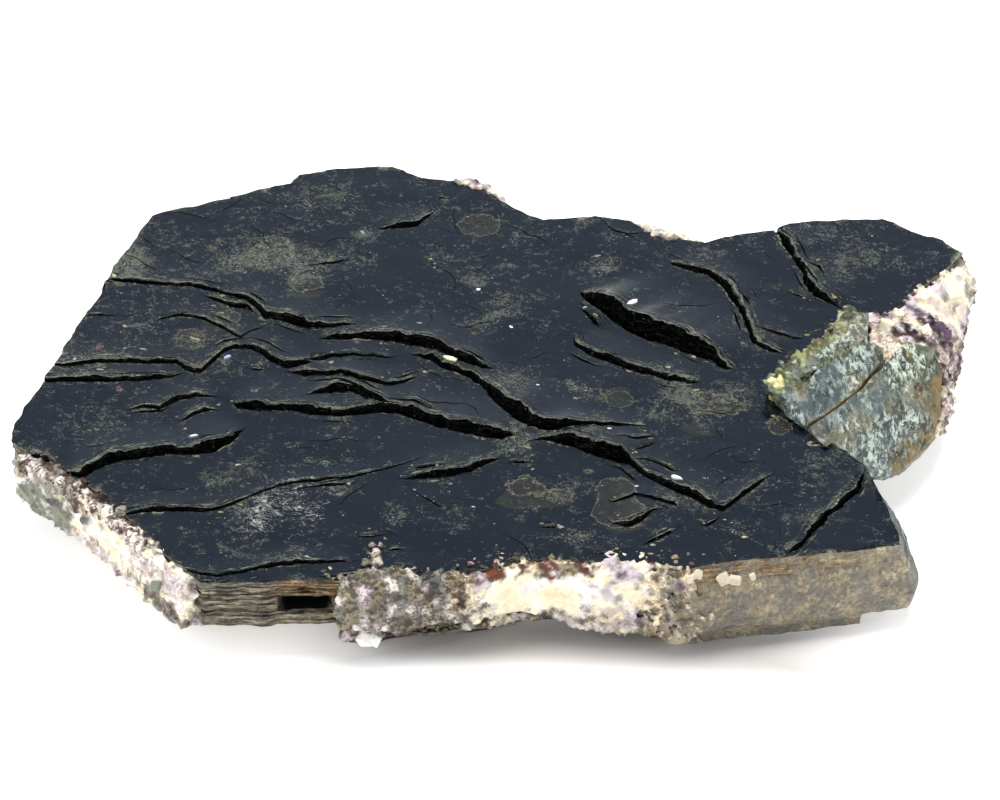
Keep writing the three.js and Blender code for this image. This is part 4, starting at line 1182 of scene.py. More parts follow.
def buildPlate(materials):
    plan, faces, loop = faceMesh()
    height, drops, lips, slots, across = faceAt(plan[:, 0], plan[:, 1])
    points = np.column_stack([plan, height + drops])
    rings = sideRings(spacedRing(points[loop]))
    count = len(rings[0])
    allPoints = np.concatenate([points] + rings)
    upper = len(points) + np.arange(count)
    offset = len(points) + count
    sideFaces = [zipped(loop, upper, allPoints)]
    for _ in rings[1:]:
        lower = offset + np.arange(count)
        a, b, c, d = upper, lower, np.roll(lower, -1), np.roll(upper, -1)
        sideFaces.append(np.stack([a, b, c], axis=1))
        sideFaces.append(np.stack([a, c, d], axis=1))
        upper = lower
        offset += count
    sideFaces = np.concatenate(sideFaces)
    under = undersideFaces(rings[-1]) + offset - count

    # A triangle is a crack's wall where it is steep or lies down in a slot.
    a, b, c = cornersOf(points, faces)
    normal = np.cross(b - a, c - a)
    steep = normal[:, 2] < face["steepBelow"] * np.linalg.norm(normal, axis=1)
    inSlot = steep | (slots[faces].mean(axis=1) > face["slotAbove"])
    kinds = np.concatenate([np.where(inSlot, 1, 0), np.full(len(sideFaces), 2), np.full(len(under), 0)])
    values = sideValues(allPoints)
    rest = np.zeros(len(allPoints) - len(points))
    onFace = {key: spotted(*plan.T, spots) for key, spots in spotsOf.items()}
    # Painted reflection: more pale dust towards the back and left lightens the face there.
    onFace["dust"] += face["backDustAsPaintedReflection"] * smoothStep(4, 34, plan[:, 1] - 0.5 * plan[:, 0])
    for key, given in {**onFace, "lip": lips}.items():
        below = rest + (face["sideDust"] if key == "dust" else 0)
        values[key] = np.concatenate([np.clip(given, 0, 1.2), below])
    values["across"] = np.concatenate([across, rest])
    everyFace = np.concatenate([faces, sideFaces, under])
    print("book:", len(faces), "face,", len(sideFaces), "side and", len(under), "underside triangles")
    plate = makePiece("annite_book", allPoints, everyFace, materials, kinds, values=values)
    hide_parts("annite_plate")


buildPlate([blackFace, crackWall, edgeMaterial])
print("book made")


# Triangles of a CAD node as points and faces in millimetres.
def cadMesh(node):
    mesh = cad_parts[node].data
    points = readAll(mesh.vertices, "co", 3) / mm - (shiftX, shiftY, 0)
    mesh.calc_loop_triangles()
    faces = readAll(mesh.loop_triangles, "vertices", 3, np.int32)
    points, merged = np.unique(np.round(points, 4), axis=0, return_inverse=True)
    return points, merged.reshape(-1)[faces]


# Random places on a mesh, spread evenly over its area.
def scattered(points, faces, count, rng):
    a, b, c = cornersOf(points, faces)
    normal = np.cross(b - a, c - a)
    area = np.linalg.norm(normal, axis=1)
    chosen = rng.choice(len(faces), count, p=area / area.sum())
    s, t = rng.random((2, count))
    over = s + t > 1
    s[over], t[over] = 1 - s[over], 1 - t[over]
    place = a[chosen] + s[:, None] * (b - a)[chosen] + t[:, None] * (c - a)[chosen]
    return place, normal[chosen] / area[chosen][:, None]


# Blocky grains, each a box with its corners knocked about and turned at random.
def blocks(centres, sizes, rng, flatten=1.0, tilt=3.14):
    count = len(centres)
    corner = np.array([(x, y, z) for x in (-1, 1) for y in (-1, 1) for z in (-1, 1)], float)
    shape = corner * rng.uniform(0.55, 1, (count, 1, 3)) + rng.uniform(-0.28, 0.28, (count, 8, 3))
    shape[:, :, 2] *= flatten
    shape *= sizes[:, None, None]
    turn, lean = rng.uniform(0, 2 * np.pi, count), rng.uniform(-tilt, tilt, count)
    way = rng.uniform(0, np.pi, count)
    axis = np.column_stack([np.cos(way), np.sin(way), 0 * way])[:, None]
    cosT, sinT = np.cos(turn)[:, None], np.sin(turn)[:, None]
    x, y, z = np.moveaxis(shape, 2, 0)
    shape = np.stack([x * cosT - y * sinT, x * sinT + y * cosT, z], axis=2)
    cosL, sinL = np.cos(lean)[:, None, None], np.sin(lean)[:, None, None]
    along = (shape * axis).sum(axis=2, keepdims=True) * axis
    shape = shape * cosL + np.cross(axis, shape) * sinL + along * (1 - cosL)
    quads = np.array([(0, 1, 3, 2), (4, 6, 7, 5), (0, 4, 5, 1), (2, 3, 7, 6), (0, 2, 6, 4), (1, 5, 7, 3)])
    triangles = np.concatenate([quads[:, [0, 1, 2]], quads[:, [0, 2, 3]]])
    faces = (8 * np.arange(count))[:, None, None] + triangles
    return (centres[:, None] + shape).reshape(-1, 3), faces.reshape(-1, 3)


def joined(*meshes):
    offsets = np.cumsum([0] + [len(points) for points, faces in meshes[:-1]])
    return (np.concatenate([points for points, faces in meshes]),
            np.concatenate([faces + offset for offset, (points, faces) in zip(offsets, meshes)]))


# Overlapping shapes fused into one skin of small squares.
def fused(points, faces, voxel):
    mesh = bpy.data.meshes.new("unfused")
    mesh.from_pydata(points.tolist(), [], faces.tolist())
    obj = linked("unfused", mesh)
    remesh = obj.modifiers.new("fuse", "REMESH")
    remesh.mode = "VOXEL"
    remesh.voxel_size = voxel
    skin = obj.evaluated_get(bpy.context.evaluated_depsgraph_get()).to_mesh()
    skinPoints = readAll(skin.vertices, "co", 3)
    corners = readAll(skin.loops, "vertex_index", 1, np.int32)
    bpy.data.objects.remove(obj)
    bpy.data.meshes.remove(mesh)
    return skinPoints, corners.reshape(-1, 4)


# Only the biggest connected skin, without the crumbs that float free of it.
def largestSkin(points, faces):
    label = np.arange(len(points))
    a, b = faces.ravel(), np.roll(faces, 1, axis=1).ravel()
    while (label[a] != label[b]).any():
        low = np.minimum(label[a], label[b])
        np.minimum.at(label, a, low)
        np.minimum.at(label, b, low)
        label = label[label]
    kept = label == np.bincount(label).argmax()
    number = np.cumsum(kept) - 1
    return points[kept], number[faces[kept[faces[:, 0]]]]


# Rows of three values, one for each face, added up over the faces round every point.
def gathered(rows, faces, count):
    spread = np.repeat(rows, faces.shape[1], axis=0)
    return np.stack([np.bincount(faces.ravel(), column, count) for column in spread.T], axis=1)


# Values per point, three to each, evened out over the faces round it as often as asked.
def evened(values, faces, times=1):
    shares = np.maximum(np.bincount(faces.ravel(), minlength=len(values)), 1)[:, None]
    for _ in range(times):
        values = gathered(values[faces].mean(axis=1), faces, len(values)) / shares
    return values


# How deep each point lies in a hollow of the skin, in millimetres, and less than nothing on an edge.
def hollows(points, faces):
    normal = np.cross(points[faces[:, 2]] - points[faces[:, 0]], points[faces[:, 3]] - points[faces[:, 1]])
    normal = gathered(normal, faces, len(points))
    normal /= np.maximum(np.linalg.norm(normal, axis=1), 1e-9)[:, None]
    return ((evened(points, faces, times=8) - points) * normal).sum(axis=1)


# A way to look up the nearest of many places.
def treeOf(places):
    tree = kdtree.KDTree(len(places))
    for n, place in enumerate(places):
        tree.insert(place, n)
    tree.balance()
    return tree


# For each point the grain that it belongs to: the nearest for its size.
def grainAt(points, centres, sizes):
    tree = treeOf(centres)
    found = np.empty(len(points), int)
    for n, point in enumerate(points):
        found[n] = min(tree.find_n(point, 4), key=lambda hit: hit[2] / sizes[hit[1]])[1]
    return found


# The crusts' grains, whose sizes are half widths in millimetres.
crusts = {
    "voxel": 0.15,
    "cluster": 1.6,  # how far a patch of one colour reaches, in millimetres
    "blur": 0.7,  # how far grains of one zone stray into the next
    "ragged": 0.16,  # how far a grain's colour runs over its edges
    "skirt": 0.9,  # how far grains of a crust lie over on the book round it
    "skirtDensity": 0.6,
    "bookPlaces": 60000,  # places tried for a skirt's grains, over the whole book
    "crustPlaces": 4000,  # places on a crust from which the way to the skirt is measured
    "sink": 0.35,  # how deep a grain's centre lies under the skin, against its size
    "looseSizes": (0.14, 0.42),  # of the grains spilt on the face
    "unruly": 0.22,  # how freely a grain's colour breaks from its patch
    "shades": (0.82, 1.06),  # how much darker or lighter a grain is than its colour
    "lumpGrime": 0.1,
    "seed": 40,
    **screenColours(
        white=(238, 235, 228), cream=(250, 238, 205), warm=(240, 220, 186), pink=(208, 192, 184),
        lilac=(206, 194, 198), purple=(92, 72, 88), bone=(208, 198, 176), grey=(142, 139, 128),
        khaki=(140, 131, 106), slate=(88, 92, 90), brown=(84, 62, 50), rust=(104, 58, 42),
        black=(24, 23, 26), moss=(128, 134, 116),
    ),
}
# How often each colour comes up in a zone.
palettes = {
    "pale": {"lilac": 0.8, "white": 5, "cream": 4, "warm": 1, "pink": 0.5, "grey": 0.7, "brown": 0.2},
    "rosy": {"purple": 0.15, "lilac": 1.3, "pink": 1.6, "white": 2.6, "cream": 1.6, "grey": 1.2,
             "brown": 0.3},
    "mossy": {"slate": 1.4, "moss": 4, "white": 0.8, "grey": 2, "brown": 0.3},
    "dirty": {"black": 0.6, "brown": 1.4, "grey": 2, "lilac": 1, "white": 1.6, "khaki": 1},
    "rocky": {"slate": 2, "lilac": 0.3, "grey": 3, "white": 0.4, "khaki": 4, "warm": 0.6, "brown": 0.6},
    "creamy": {"pink": 0.3, "white": 3, "cream": 6, "warm": 1.2},
    "mixed": {"slate": 0.8, "grey": 1.8, "pink": 0.3, "cream": 2, "warm": 2, "khaki": 2.6},
    "plum": {"black": 0.3, "purple": 0.8, "brown": 1.2, "lilac": 0.4, "pink": 3, "white": 0.8, "cream": 0.8},
    "ivory": {"purple": 0.3, "lilac": 2.4, "grey": 1.2, "white": 0.8, "cream": 2.2, "warm": 1.8,
              "pink": 2.8},
    "stony": {"purple": 0.2, "lilac": 1, "white": 1, "grey": 3, "slate": 1.5, "khaki": 2.4},
    "blended": {"grey": 2, "khaki": 4, "bone": 2.4, "warm": 0.4},
    "rusty": {"rust": 2.6, "brown": 3, "warm": 0.4, "khaki": 1},
}
grimes = {"dirty": 0.8, "rocky": 0.7, "mixed": 0.5, "mossy": 0.35, "rusty": 0.4, "rosy": 0.45, "plum": 0.6,
          "pale": 0.3, "ivory": 0.15, "creamy": 0, "stony": 0.6, "blended": 0.6}
# The size of a zone's grains against the usual one.
coarseness = {"creamy": 0.35, "ivory": 0.6, "blended": 0.7, "pale": 0.65, "mixed": 0.6, "rocky": 0.6,
              "rusty": 0.6}


def leftZone(x, y, z):
    if x < -47 and z < 8.8:
        return "mossy"
    if z > 9 and y > -26:
        return "dirty"
    return "rosy" if y < -24 or z < 4 else "pale"


def frontZone(x, y, z):
    if -2 < x < 11 and z > 9.8 or x > 17 and z > 9.4 and y > -30:
        return "rusty"
    if x < -2.2:
        return "stony" if x < -8 else "rocky"
    if x < 17 - 0.4 * max(0, 5 - z):
        return "rosy" if z < 3.4 or x < -0.8 else "creamy" if x < 12 else "ivory"
    return "mixed" if x < 19.5 else "blended"


def rightZone(x, y, z):
    if y > 27.5:
        return "rosy"
    if y > 17.5 and z > 4 or z > 9.6:
        return "ivory"
    return "plum" if y > 1 else "rosy"


def patchZone(x, y, z):
    return "rosy"


# The lone lumps and chips that stand out on the crusts: x, y, z, half width and colour.
frontLumps = [
    (-13.6, -33.1, 3.3, 1.0, "white"), (-12.4, -33.2, 3.0, 0.8, "white"), (-14.4, -32.6, 4.6, 0.5, "white"),
    (-12.2, -28.6, 10.1, 0.6, "bone"), (-12.5, -27.2, 10.1, 0.35, "bone"), (-11.8, -30.6, 9.9, 0.6, "grey"),
    (-8.4, -30.9, 10, 0.5, "pink"), (13.3, -28.8, 10.1, 0.7, "lilac"), (14.6, -28.9, 10.1, 0.6, "bone"),
    (16.8, -29.2, 10.1, 0.7, "bone"), (18.3, -29.2, 10.1, 0.5, "bone"), (11.6, -29.2, 10, 0.6, "bone"),
    (22.6, -30.2, 9.7, 0.5, "bone"), (21.6, -30.4, 9.4, 0.5, "bone"), (20.6, -31, 8.9, 0.6, "purple"),
    (25.4, -30, 9, 0.8, "bone"), (26.7, -29.9, 8.8, 0.6, "bone"), (28.6, -29.5, 8.9, 0.4, "bone"),
]
leftLumps = [
    (-44.9, -17.2, 7.1, 0.8, "slate"), (-46.1, -15.9, 7.6, 0.7, "brown"), (-36.3, -30.2, 8.2, 0.6, "moss"),
]
rightLumps = [
    (57.6, 27.4, 6.4, 0.8, "black"), (54.8, 22.6, 9.2, 1.2, "cream"), (51.2, 20.6, 9.6, 1.1, "cream"),
    (53.4, 23.6, 8.8, 0.9, "warm"), (48, 17, 10, 1.0, "cream"), (46.6, 15, 10.4, 0.9, "cream"),
    (52.8, 16.2, 9.2, 0.7, "purple"), (53.6, 15.4, 8.6, 0.6, "purple"), (51.8, 17.2, 9.4, 0.5, "black"),
    (50.8, 14.4, 10, 0.7, "cream"), (55.6, 17.2, 6, 0.5, "slate"), (56.6, 29.4, 8.4, 0.9, "cream"),
]


# Loose grains on the face behind the front crust: x, y, how far they spread along each, and how many.
frontSpill = [
    (-13, -31, 2.2, 0.5, 60), (-7, -30.3, 3, 0.5, 70), (2, -28.6, 3, 0.5, 60), (11, -29, 2.2, 0.5, 50),
    (16.5, -29.2, 2, 0.5, 50), (-12.3, -28, 0.5, 1.2, 26),
]


# Where the front crust thins out over the book's side.
def frontSkirt(x, y, z):
    over = smoothStep(-16.4, -15, x) * smoothStep(9, 4, x) * smoothStep(6.5, 4.5, z)
    return np.where(y < -26, np.maximum(over, smoothStep(26, 17, x) * smoothStep(9, 14, x)), 0)


# Grains on the book itself: hard against the crust, and where a chance by place is given.
def skirting(points, faces, rng, chance):
    book = cadMesh("annite_plate")
    places, normals = scattered(*book, crusts["bookPlaces"], rng)
    near = treeOf(scattered(points, faces, crusts["crustPlaces"], rng)[0])
    off = np.array([near.find(place)[2] for place in places])
    wanted = smoothStep(crusts["skirt"], 0.2, off)
    if chance:
        wanted = np.maximum(wanted, chance(*places.T))
    kept = (rng.random(len(places)) < wanted * crusts["skirtDensity"]) & (places[:, 2] > 0.3)
    return places[kept], normals[kept]


def buildCrust(name, node, count, sizes, zoneOf, lumps, seed, spill=(), chance=None):
    rng = np.random.default_rng(crusts["seed"] + seed)
    points, faces = cadMesh(node)
    centres, normals = scattered(points, faces, count, rng)
    skirt, skirtNormals = skirting(points, faces, rng, chance)
    centres, normals = np.concatenate([centres, skirt]), np.concatenate([normals, skirtNormals])
    grains = rng.uniform(sizes[0] ** 0.5, sizes[1] ** 0.5, len(centres)) ** 2
    centres = centres - normals * (grains * crusts["sink"])[:, None]
    for x, y, spreadX, spreadY, many in spill:
        places = np.column_stack([rng.normal(x, spreadX, many), rng.normal(y, spreadY, many)])
        loose = rng.uniform(*crusts["looseSizes"], many)
        centres = np.concatenate([centres, np.column_stack([places, bookThickness + 0.35 * loose])])
        grains = np.concatenate([grains, loose])

    # Neighbouring grains draw nearly the same number, so that a colour comes in patches.
    drift = latticeNoise(crusts["seed"] + seed)
    drawn = drift((centres[:, 0] + centres[:, 1]) / crusts["cluster"], centres[:, 2] / crusts["cluster"])
    drawn = drawn + rng.normal(0, crusts["unruly"], len(centres))
    drawn = np.argsort(np.argsort(drawn)) / len(centres)
    kinds, grime = [], []
    for n, (centre, share) in enumerate(zip(centres, drawn)):
        zone = zoneOf(*(centre + rng.normal(0, crusts["blur"], 3)))
        palette = palettes[zone]
        weights = np.cumsum(list(palette.values()))
        kinds.append(list(palette)[np.searchsorted(weights / weights[-1], share)])
        grime.append(grimes[zone])
        grains[n] *= coarseness.get(zone, 1)
    if lumps:
        centres = np.concatenate([centres, [lump[:3] for lump in lumps]])
        grains = np.concatenate([grains, [lump[3] for lump in lumps]])
        kinds += [lump[4] for lump in lumps]
        grime += [crusts["lumpGrime"]] * len(lumps)
    blockPoints, blockFaces = blocks(centres, grains, rng)
    skin, skinFaces = fused(*joined((points, faces), (blockPoints, blockFaces)), crusts["voxel"])
    skin[:, 2] = np.maximum(skin[:, 2], 0.02)
    grain = grainAt(skin + rng.normal(0, crusts["ragged"], skin.shape), centres, grains)
    tints = np.array([crusts[kind] for kind in kinds]) * rng.uniform(*crusts["shades"], (len(kinds), 1))
    tints = evened(tints[grain], skinFaces)
    values = {"hollow": hollows(skin, skinFaces), "grime": np.array(grime)[grain]}
    piece = makePiece(name, skin, skinFaces, [feldspar], sharpAngle=50, values=values,
                      tints=tints)
    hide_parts(node)


buildCrust("left_crust", "feldspar_crust_left", 2200, (0.16, 0.7), leftZone, leftLumps, 1)
buildCrust("front_crust", "feldspar_mass_front", 2600, (0.16, 0.66), frontZone, frontLumps, 2, frontSpill,
           frontSkirt)
buildCrust("right_crust", "feldspar_crust_right", 2600, (0.16, 0.66), rightZone, rightLumps, 3)
buildCrust("back_left_patch", "feldspar_patch_back_left", 260, (0.2, 0.6), patchZone, [], 4)
buildCrust("back_right_patch", "feldspar_patch_back_right", 260, (0.2, 0.6), patchZone, [], 5)
print("crusts made")


# The grey mica crystal: split tablets with broken steps, crumbs along its upper edges and an ochre lower rim.
crystal = {
    "voxel": 0.17,
    "steps": 0.1,
    "ripple": 0.03,
    "ribs": 0.12,
    "seed": 60,
    **screenColours(
        glassy=(66, 77, 80), mottled=(72, 82, 82), olive=(74, 76, 48), paleOlive=(172, 178, 162),
        ochre=(108, 92, 50), wall=(70, 66, 56), yellow=(226, 216, 160), lime=(140, 148, 96),
        redBrown=(62, 28, 26),
    ),
}
upperEdge = [(32, 0.6), (33.4, 3.2), (35.2, 6.2), (37.7, 8.3), (40.2, 11.7), (42.1, 15.2)]
terraceEdge = [(34.6, 0.2), (37, 3.2), (40.2, 6.2), (42.6, 9)]
splitLine = [(35.8, -5), (39, -2.1), (42.4, 2), (45.7, 7.4)]
lowerRim = [(46.6, -6.1), (49.3, -3.6), (51, -1.2), (51.9, 2.6), (52.1, 5.6)]

# Crumbs along the edges: the line, how many, how far they stray, their height, sizes and flatness.
crumbRows = [
    (upperEdge, 150, 0.6, 11.9, (0.16, 0.6), 0.6),
    (terraceEdge, 80, 0.4, 12.6, (0.14, 0.42), 0.5),
    ([(31.8, 0.2), (33.2, 1.6)], 34, 0.4, 12, (0.16, 0.42), 0.8),
]


# How far points in plan are from a line of points.
def offLine(x, y, line):
    best = np.full(len(x), 1e9)
    for (x0, y0), (x1, y1) in zip(line, line[1:]):
        best = np.minimum(best, offPiece(x, y, x0, y0, x1, y1)[2])
    return best


# Random places beside a line of points.
def alongLine(line, count, spread, rng):
    line = np.array(line)
    run = runAlong(line)
    at = rng.uniform(0, run[-1], count)
    places = np.column_stack([np.interp(at, run, line[:, k]) for k in (0, 1)])
    return places + rng.normal(0, spread, (count, 2))


def buildCrystal():
    rng = np.random.default_rng(crystal["seed"])
    points, faces = cadMesh("grey_mica_crystal")

    def crumbs(line, count, spread, height, sizes, flatten):
        plan = alongLine(line, count, spread, rng)
        grains = rng.uniform(*sizes, count)
        centres = np.column_stack([plan, height + rng.normal(0, 0.3, count)])
        return blocks(centres, grains, rng, flatten, 0.6)

    parts = [(points, faces)] + [crumbs(*row) for row in crumbRows]
    skin, skinFaces = largestSkin(*fused(*joined(*parts), crystal["voxel"]))
    x, y, z = skin.T
    cleaved, ripple = latticeNoise(61), latticeNoise(62)

    # Small cleavage steps on the broad faces, and fine ribs down the walls.
    stepped = np.round(1.6 * cleaved(x / 2.6 + 0.3 * y, y / 4.1) + 0.5 * cleaved(x / 0.9, 9 + y / 1.3))
    top = smoothStep(5.2, 6.4, z)
    skin[:, 2] += crystal["steps"] * stepped * top + crystal["ripple"] * ripple(x / 0.35, y / 0.6) * top
    skin[:, 0] += crystal["ribs"] * ripple(z / 0.35, 20 + (x + y) / 9) * (1 - smoothStep(9.5, 10.6, z))
    skin[:, 2] = np.maximum(skin[:, 2], 0.02)

    noise = latticeNoise(63)
    mottle = noise(x / 1.1, y / 1.7)
    edges = (upperEdge, terraceEdge, splitLine, lowerRim)
    upper, terrace, split, low = [offLine(x, y, line) for line in edges]
    beyond = (x - 35.8) * 0.78 - (y + 5) * 0.62  # positive past the split, over the lower face
    tints = np.tile(crystal["mottled"], (len(skin), 1))

    def paint(share, key):
        share = np.clip(share, 0, 1)[:, None]
        tints[:] = tints * (1 - share) + np.array(crystal[key]) * share

    paint(np.where(beyond < 0, 0.9, 0), "glassy")
    paint(smoothStep(2.6, 1.2, upper + 0.8 * mottle), "olive")
    paint(smoothStep(0.35, 0.7, noise(x / 0.5, y / 0.5) * smoothStep(3, 1, upper)), "paleOlive")
    paint(smoothStep(1.0, 0.4, terrace + 0.5 * mottle), "olive")
    paint(smoothStep(0.55, 0.25, split + 0.2 * mottle) * np.where(beyond > -0.2, 0.8, 0.2), "ochre")
    paint(0.9 * smoothStep(6.5, 2.5, np.hypot(x - 48.2, y - 7.2) + 1.6 * mottle), "olive")
    paint(0.45 * smoothStep(0.0, 0.5, noise(x / 2.2, 30 + y / 3.1)), "ochre")
    paint(smoothStep(1.5, 0.7, low + 0.9 * mottle), "ochre")
    paint(0.8 * smoothStep(2.2, 1.2, upper) * smoothStep(0.05, 0.4, noise(x / 0.9, 60 + y / 0.9)), "lime")
    paint(smoothStep(1.3, 0.9, np.hypot(x - 32.6, y - 1.1) + 0.4 * mottle), "yellow")
    paint(smoothStep(0.9, 0.6, np.hypot((x - 49.3) * 1.6, y - 4) + 0.3 * mottle), "redBrown")
    paint(0.8 * smoothStep(5.6, 4.2, z), "wall")
    veil = np.where(beyond > 0, 1.0, 0.85) * smoothStep(0.2, 1.5, upper)
    veil *= 1 - 0.6 * smoothStep(2.2, 0.8, low)
    veil *= 0.3 + 0.7 * smoothStep(1, 2.6, np.hypot(x - 37.2, y + 5.1))
    piece = makePiece("grey_crystal", skin, skinFaces, [greyMica], sharpAngle=40,
                      values={"veil": veil, "hollow": hollows(skin, skinFaces)}, tints=tints)
    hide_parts("grey_mica_crystal")


buildCrystal()
print("crystal made")


# Loose flakes lying on the face, thickest along the broken lips.
flakes = {
    "count": 700,
    "corners": 6,
    "thickness": (0.02, 0.06),
    "halfWidth": (0.06, 0.42),
    "smallness": 3.5,  # the higher, the fewer large ones
    "byCracks": 0.62,  # share of them that lie along the cracks
    "behind": 0.8,  # share of those that lie behind their crack
    "heading": (-0.27, 0.5),  # in radians: the usual one, and how far they stray from it
    "stretch": (1.5, 0.75),
    "levelWithin": 0.5,  # the most that the face may rise or fall under one
    "seed": 80,
    **screenColours(
        khaki=(136, 128, 92), paleKhaki=(170, 164, 136), olive=(84, 82, 54), grey=(138, 142, 136),
        dark=(38, 38, 36), white=(228, 230, 224),
    ),
    "shares": {"khaki": 2.6, "paleKhaki": 0.9, "olive": 2.4, "grey": 1.8, "dark": 3, "white": 0.25},
    "own": [  # the large pale chips: x, y, half width and colour
        (-30.5, 9.1, 0.42, "lilac"), (-4.7, 8.4, 0.6, "cream"), (20.8, -14.2, 0.5, "snow"),
        (16.7, 18.6, 0.55, "snow"), (-33.4, -6.6, 0.35, "snow"),
    ],
    "ownThickness": 0.25,
    **screenColours(
        lilac=(196, 190, 232), cream=(238, 232, 186), snow=(236, 238, 240),
    ),
}


def buildFlakes():
    rng = np.random.default_rng(flakes["seed"])
    outline = rimPoints()
    places = []
    while len(places) < flakes["count"]:
        if rng.random() < flakes["byCracks"]:
            crack = allCracks[rng.integers(len(cracks))]
            n = rng.integers(1, len(crack.u) - 1)
            behind = rng.random() < flakes["behind"]
            v = crack.lip[n] + rng.exponential(0.7) if behind else crack.front[n] - rng.exponential(0.4)
            places.append(crack.start + crack.along * crack.u[n] + crack.back * v)
        else:
            spot = dustSpots[rng.integers(len(dustSpots))]
            places.append(np.array(spot[:2]) + rng.normal(0, 0.6 * spot[2], 2))
    places = np.array(places)
    places = places[insidePolygon(places[:, 0], places[:, 1], outline)]
    own = flakes["own"]
    places = np.concatenate([places, [spot[:2] for spot in own]])
    count = len(places)
    shares = np.array(list(flakes["shares"].values()))
    kinds = list(rng.choice(list(flakes["shares"]), count - len(own), p=shares / shares.sum()))
    kinds += [spot[3] for spot in own]
    low, high = flakes["halfWidth"]
    size = low + (high - low) * rng.random(count) ** flakes["smallness"]
    size[count - len(own):] = [spot[2] for spot in own]
    corners = flakes["corners"]
    angle = np.sort(rng.uniform(0, 1, (count, corners)), axis=1) + np.arange(corners) * 0.6
    angle = angle / (angle.max(axis=1, keepdims=True) + 0.5) * 2 * np.pi + rng.uniform(0, 6, (count, 1))
    reach = size[:, None] * rng.uniform(0.6, 1.1, (count, corners))
    heading = rng.normal(*flakes["heading"], (count, 1))
    alongX, acrossY = [k * reach * turn for k, turn in zip(flakes["stretch"], (np.cos(angle), np.sin(angle)))]
    x = places[:, :1] + alongX * np.cos(heading) - acrossY * np.sin(heading)
    y = places[:, 1:] + alongX * np.sin(heading) + acrossY * np.cos(heading)
    ground, slots = [faceAt(x.ravel(), y.ravel())[n].reshape(x.shape) for n in (0, 3)]
    middle = ground.mean(axis=1, keepdims=True)
    tilt = rng.normal(0, 0.08, (count, 1)) * (x - places[:, :1])
    tilt = tilt + np.abs(rng.normal(0, 0.06, (count, 1))) * (y - places[:, 1:])
    thickness = rng.uniform(*flakes["thickness"], (count, 1))
    thickness[count - len(own):] = flakes["ownThickness"]
    under = 0.5 * ground + 0.5 * middle + tilt - 0.02
    top = under + thickness
    ring = np.arange(corners)
    after = (ring + 1) % corners
    fan = np.array([(0, n, n + 1) for n in range(1, corners - 1)])
    shape = np.concatenate([fan + corners, fan[:, ::-1], np.stack([ring, after, after + corners], 1),
                            np.stack([ring, after + corners, ring + corners], 1)])
    points = np.stack([np.concatenate(pair, 1) for pair in ((x, x), (y, y), (under, top))], axis=2)
    onFace = (slots.max(axis=1) < 0.5) & (np.ptp(ground, axis=1) < flakes["levelWithin"])
    points = points[onFace]
    faces = (2 * corners * np.arange(len(points)))[:, None, None] + shape
    tints = np.array([flakes[kind] for kind in kinds])[onFace] * rng.uniform(0.75, 1.1, (len(points), 1))
    makePiece("mica_flakes", points.reshape(-1, 3), faces.reshape(-1, 3), [looseMica],
              sharpAngle=25, tints=np.repeat(tints, 2 * corners, axis=0))


buildFlakes()
print("flakes made")


camera = {
    "elevation": 37,
    "distance": 460,
    "pixelsPerMm": 8.75,  # at the aim, on the polished face
    "aim": (0, 0, 10),
    "aimPixel": (490, 405),
    "frame": (1000, 800),
    "sensor": 36,
}


def setCamera():
    focal = camera["pixelsPerMm"] * camera["distance"]
    tilt = math.radians(camera["elevation"])
    forward = Vector((0, math.cos(tilt), -math.sin(tilt)))
    right = Vector((1, 0, 0))
    up = right.cross(forward)
    offX = (camera["aimPixel"][0] - camera["frame"][0] / 2) / focal
    offY = (camera["aimPixel"][1] - camera["frame"][1] / 2) / focal
    ray = forward + right * offX - up * offY
    eye = Vector(camera["aim"]) - ray * camera["distance"]
    data = bpy.data.cameras.new("camera")
    data.sensor_width = camera["sensor"]
    data.lens = camera["sensor"] * focal / camera["frame"][0]
    data.clip_start = 0.01
    obj = linked("camera", data)
    obj.location = placed(*eye)
    obj.rotation_euler = (math.radians(90 - camera["elevation"]), 0, 0)
    bpy.context.scene.camera = obj


# The sky's stops run from the horizon, at 0, to straight above, at 1.
light = {
    "skyStops": [(0.0, (0.95, 0.95, 0.95)), (0.1, (0.6, 0.62, 0.66)), (0.26, (0.37, 0.43, 0.52)),
                 (0.5, (0.38, 0.46, 0.56)), (0.66, (0.275, 0.335, 0.425)), (0.8, (0.21, 0.245, 0.32)),
                 (1.0, (0.36, 0.36, 0.36))],
    "skyStrength": 1.0,
    "top": {"place": (0.0, 0.18, 0.82), "size": (0.6, 0.4), "power": 9, "colour": (1, 0.98, 0.95)},
    "front": {"place": (-0.2, -0.65, 0.4), "size": (0.7, 0.5), "power": 1.8, "colour": (1, 0.95, 0.88)},
    "left": {"place": (-0.65, -0.1, 0.4), "size": (0.6, 0.5), "power": 2.75, "colour": (1, 0.98, 0.95)},
    "right": {"place": (0.65, -0.1, 0.4), "size": (0.6, 0.5), "power": 1.7, "colour": (0.97, 0.98, 1)},
}


# The softboxes aren't mirrored in the face.
def areaLight(name, place, size, power, colour):
    data = bpy.data.lights.new(name, "AREA")
    data.shape = "RECTANGLE"
    data.size, data.size_y = size
    data.energy = power
    data.color = colour
    obj = linked(name, data)
    obj.location = place
    obj.rotation_euler = (-Vector(place)).to_track_quat("-Z", "Y").to_euler()
    obj.visible_glossy = False


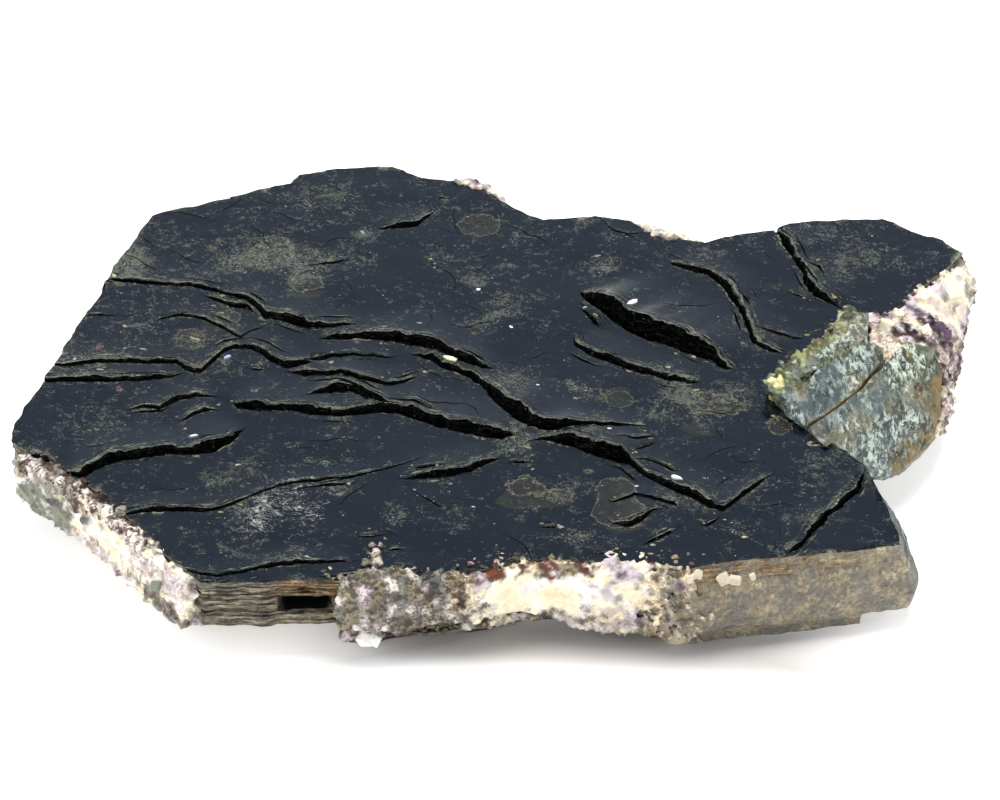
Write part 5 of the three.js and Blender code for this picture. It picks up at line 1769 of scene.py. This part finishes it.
def setLight():
    world = bpy.data.worlds.new("studio")
    world.use_nodes = True
    bpy.context.scene.world = world
    graph = Graph(world.node_tree)
    height = graph.parts(graph.node("TexCoord").outputs["Generated"])["Z"]
    dress(graph, world.node_tree.nodes["Background"], Color=graph.ramp(height, light["skyStops"]),
          Strength=light["skyStrength"])
    for name in ("top", "front", "left", "right"):
        areaLight(name + "Softbox", **light[name])


floor = {
    "middle": (12, -30),
    "slope": 0.08,
    "aside": (14, 40),  # how far to either side of the middle the floor brightens
    "ahead": (0, 10),  # and in front of it
    # The painted shadow's colour close in front of the stone, the floor's colour elsewhere, and how strongly
    # the floor glows there.
    "near": (0.42, 0.4, 0.385),
    "far": (0.8, 0.79, 0.78),
    "glow": 0.5,
    "glowColour": (1, 0.98, 0.95),
    "halfWidth": 3,  # in metres
    "drop": 0.05,  # how far it lies under the stone, in millimetres, so that the two never share a plane
}


def setFloor():
    half = floor["halfWidth"]
    mesh = bpy.data.meshes.new("floor")
    corners = [(-half, -half, 0), (half, -half, 0), (half, half, 0), (-half, half, 0)]
    mesh.from_pydata(corners, [], [(0, 1, 2, 3)])
    ground = linked("floor", mesh)
    ground.location.z = -floor["drop"] * mm
    material, shader, graph = newMaterial("floorWithPaintedShadow", Roughness=0.9, Specular_IOR_Level=0.1)

    # Painted shadow and glow: the floor's colour is darker close in front of the stone, and everywhere else
    # the floor is bright and glows, though it is no lamp, which washes out its real shadows.
    place = graph.parts(graph.place())
    middle = placed(*floor["middle"], 0) / mm
    aside = graph.apart(place["X"], middle.x)
    lean = graph.times(graph.minus(middle.x, place["X"]), floor["slope"])
    ahead = graph.maths("ABSOLUTE", graph.plus(graph.minus(middle.y, place["Y"]), lean))
    away = graph.most(graph.window(aside, *floor["aside"]), graph.window(ahead, *floor["ahead"]))
    glow = graph.window(away, 0, 1, 0.0, floor["glow"])
    dress(graph, shader, Base_Color=graph.blend(away, floor["near"], floor["far"]),
          Emission_Color=(*floor["glowColour"], 1), Emission_Strength=glow)

    # From below it is clear, so that the underside can be seen.
    under = graph.node("NewGeometry").outputs["Backfacing"]
    clear = graph.node("BsdfTransparent").outputs[0]
    mixed = graph.fed("MixShader", {0: under, 1: shader.outputs[0], 2: clear})[0]
    graph.feed(material.node_tree.nodes["Material Output"].inputs["Surface"], mixed)
    mesh.materials.append(material)


setCamera()
setLight()
setFloor()
bpy.context.scene.view_settings.view_transform = "Standard"
print("camera, light and floor set")
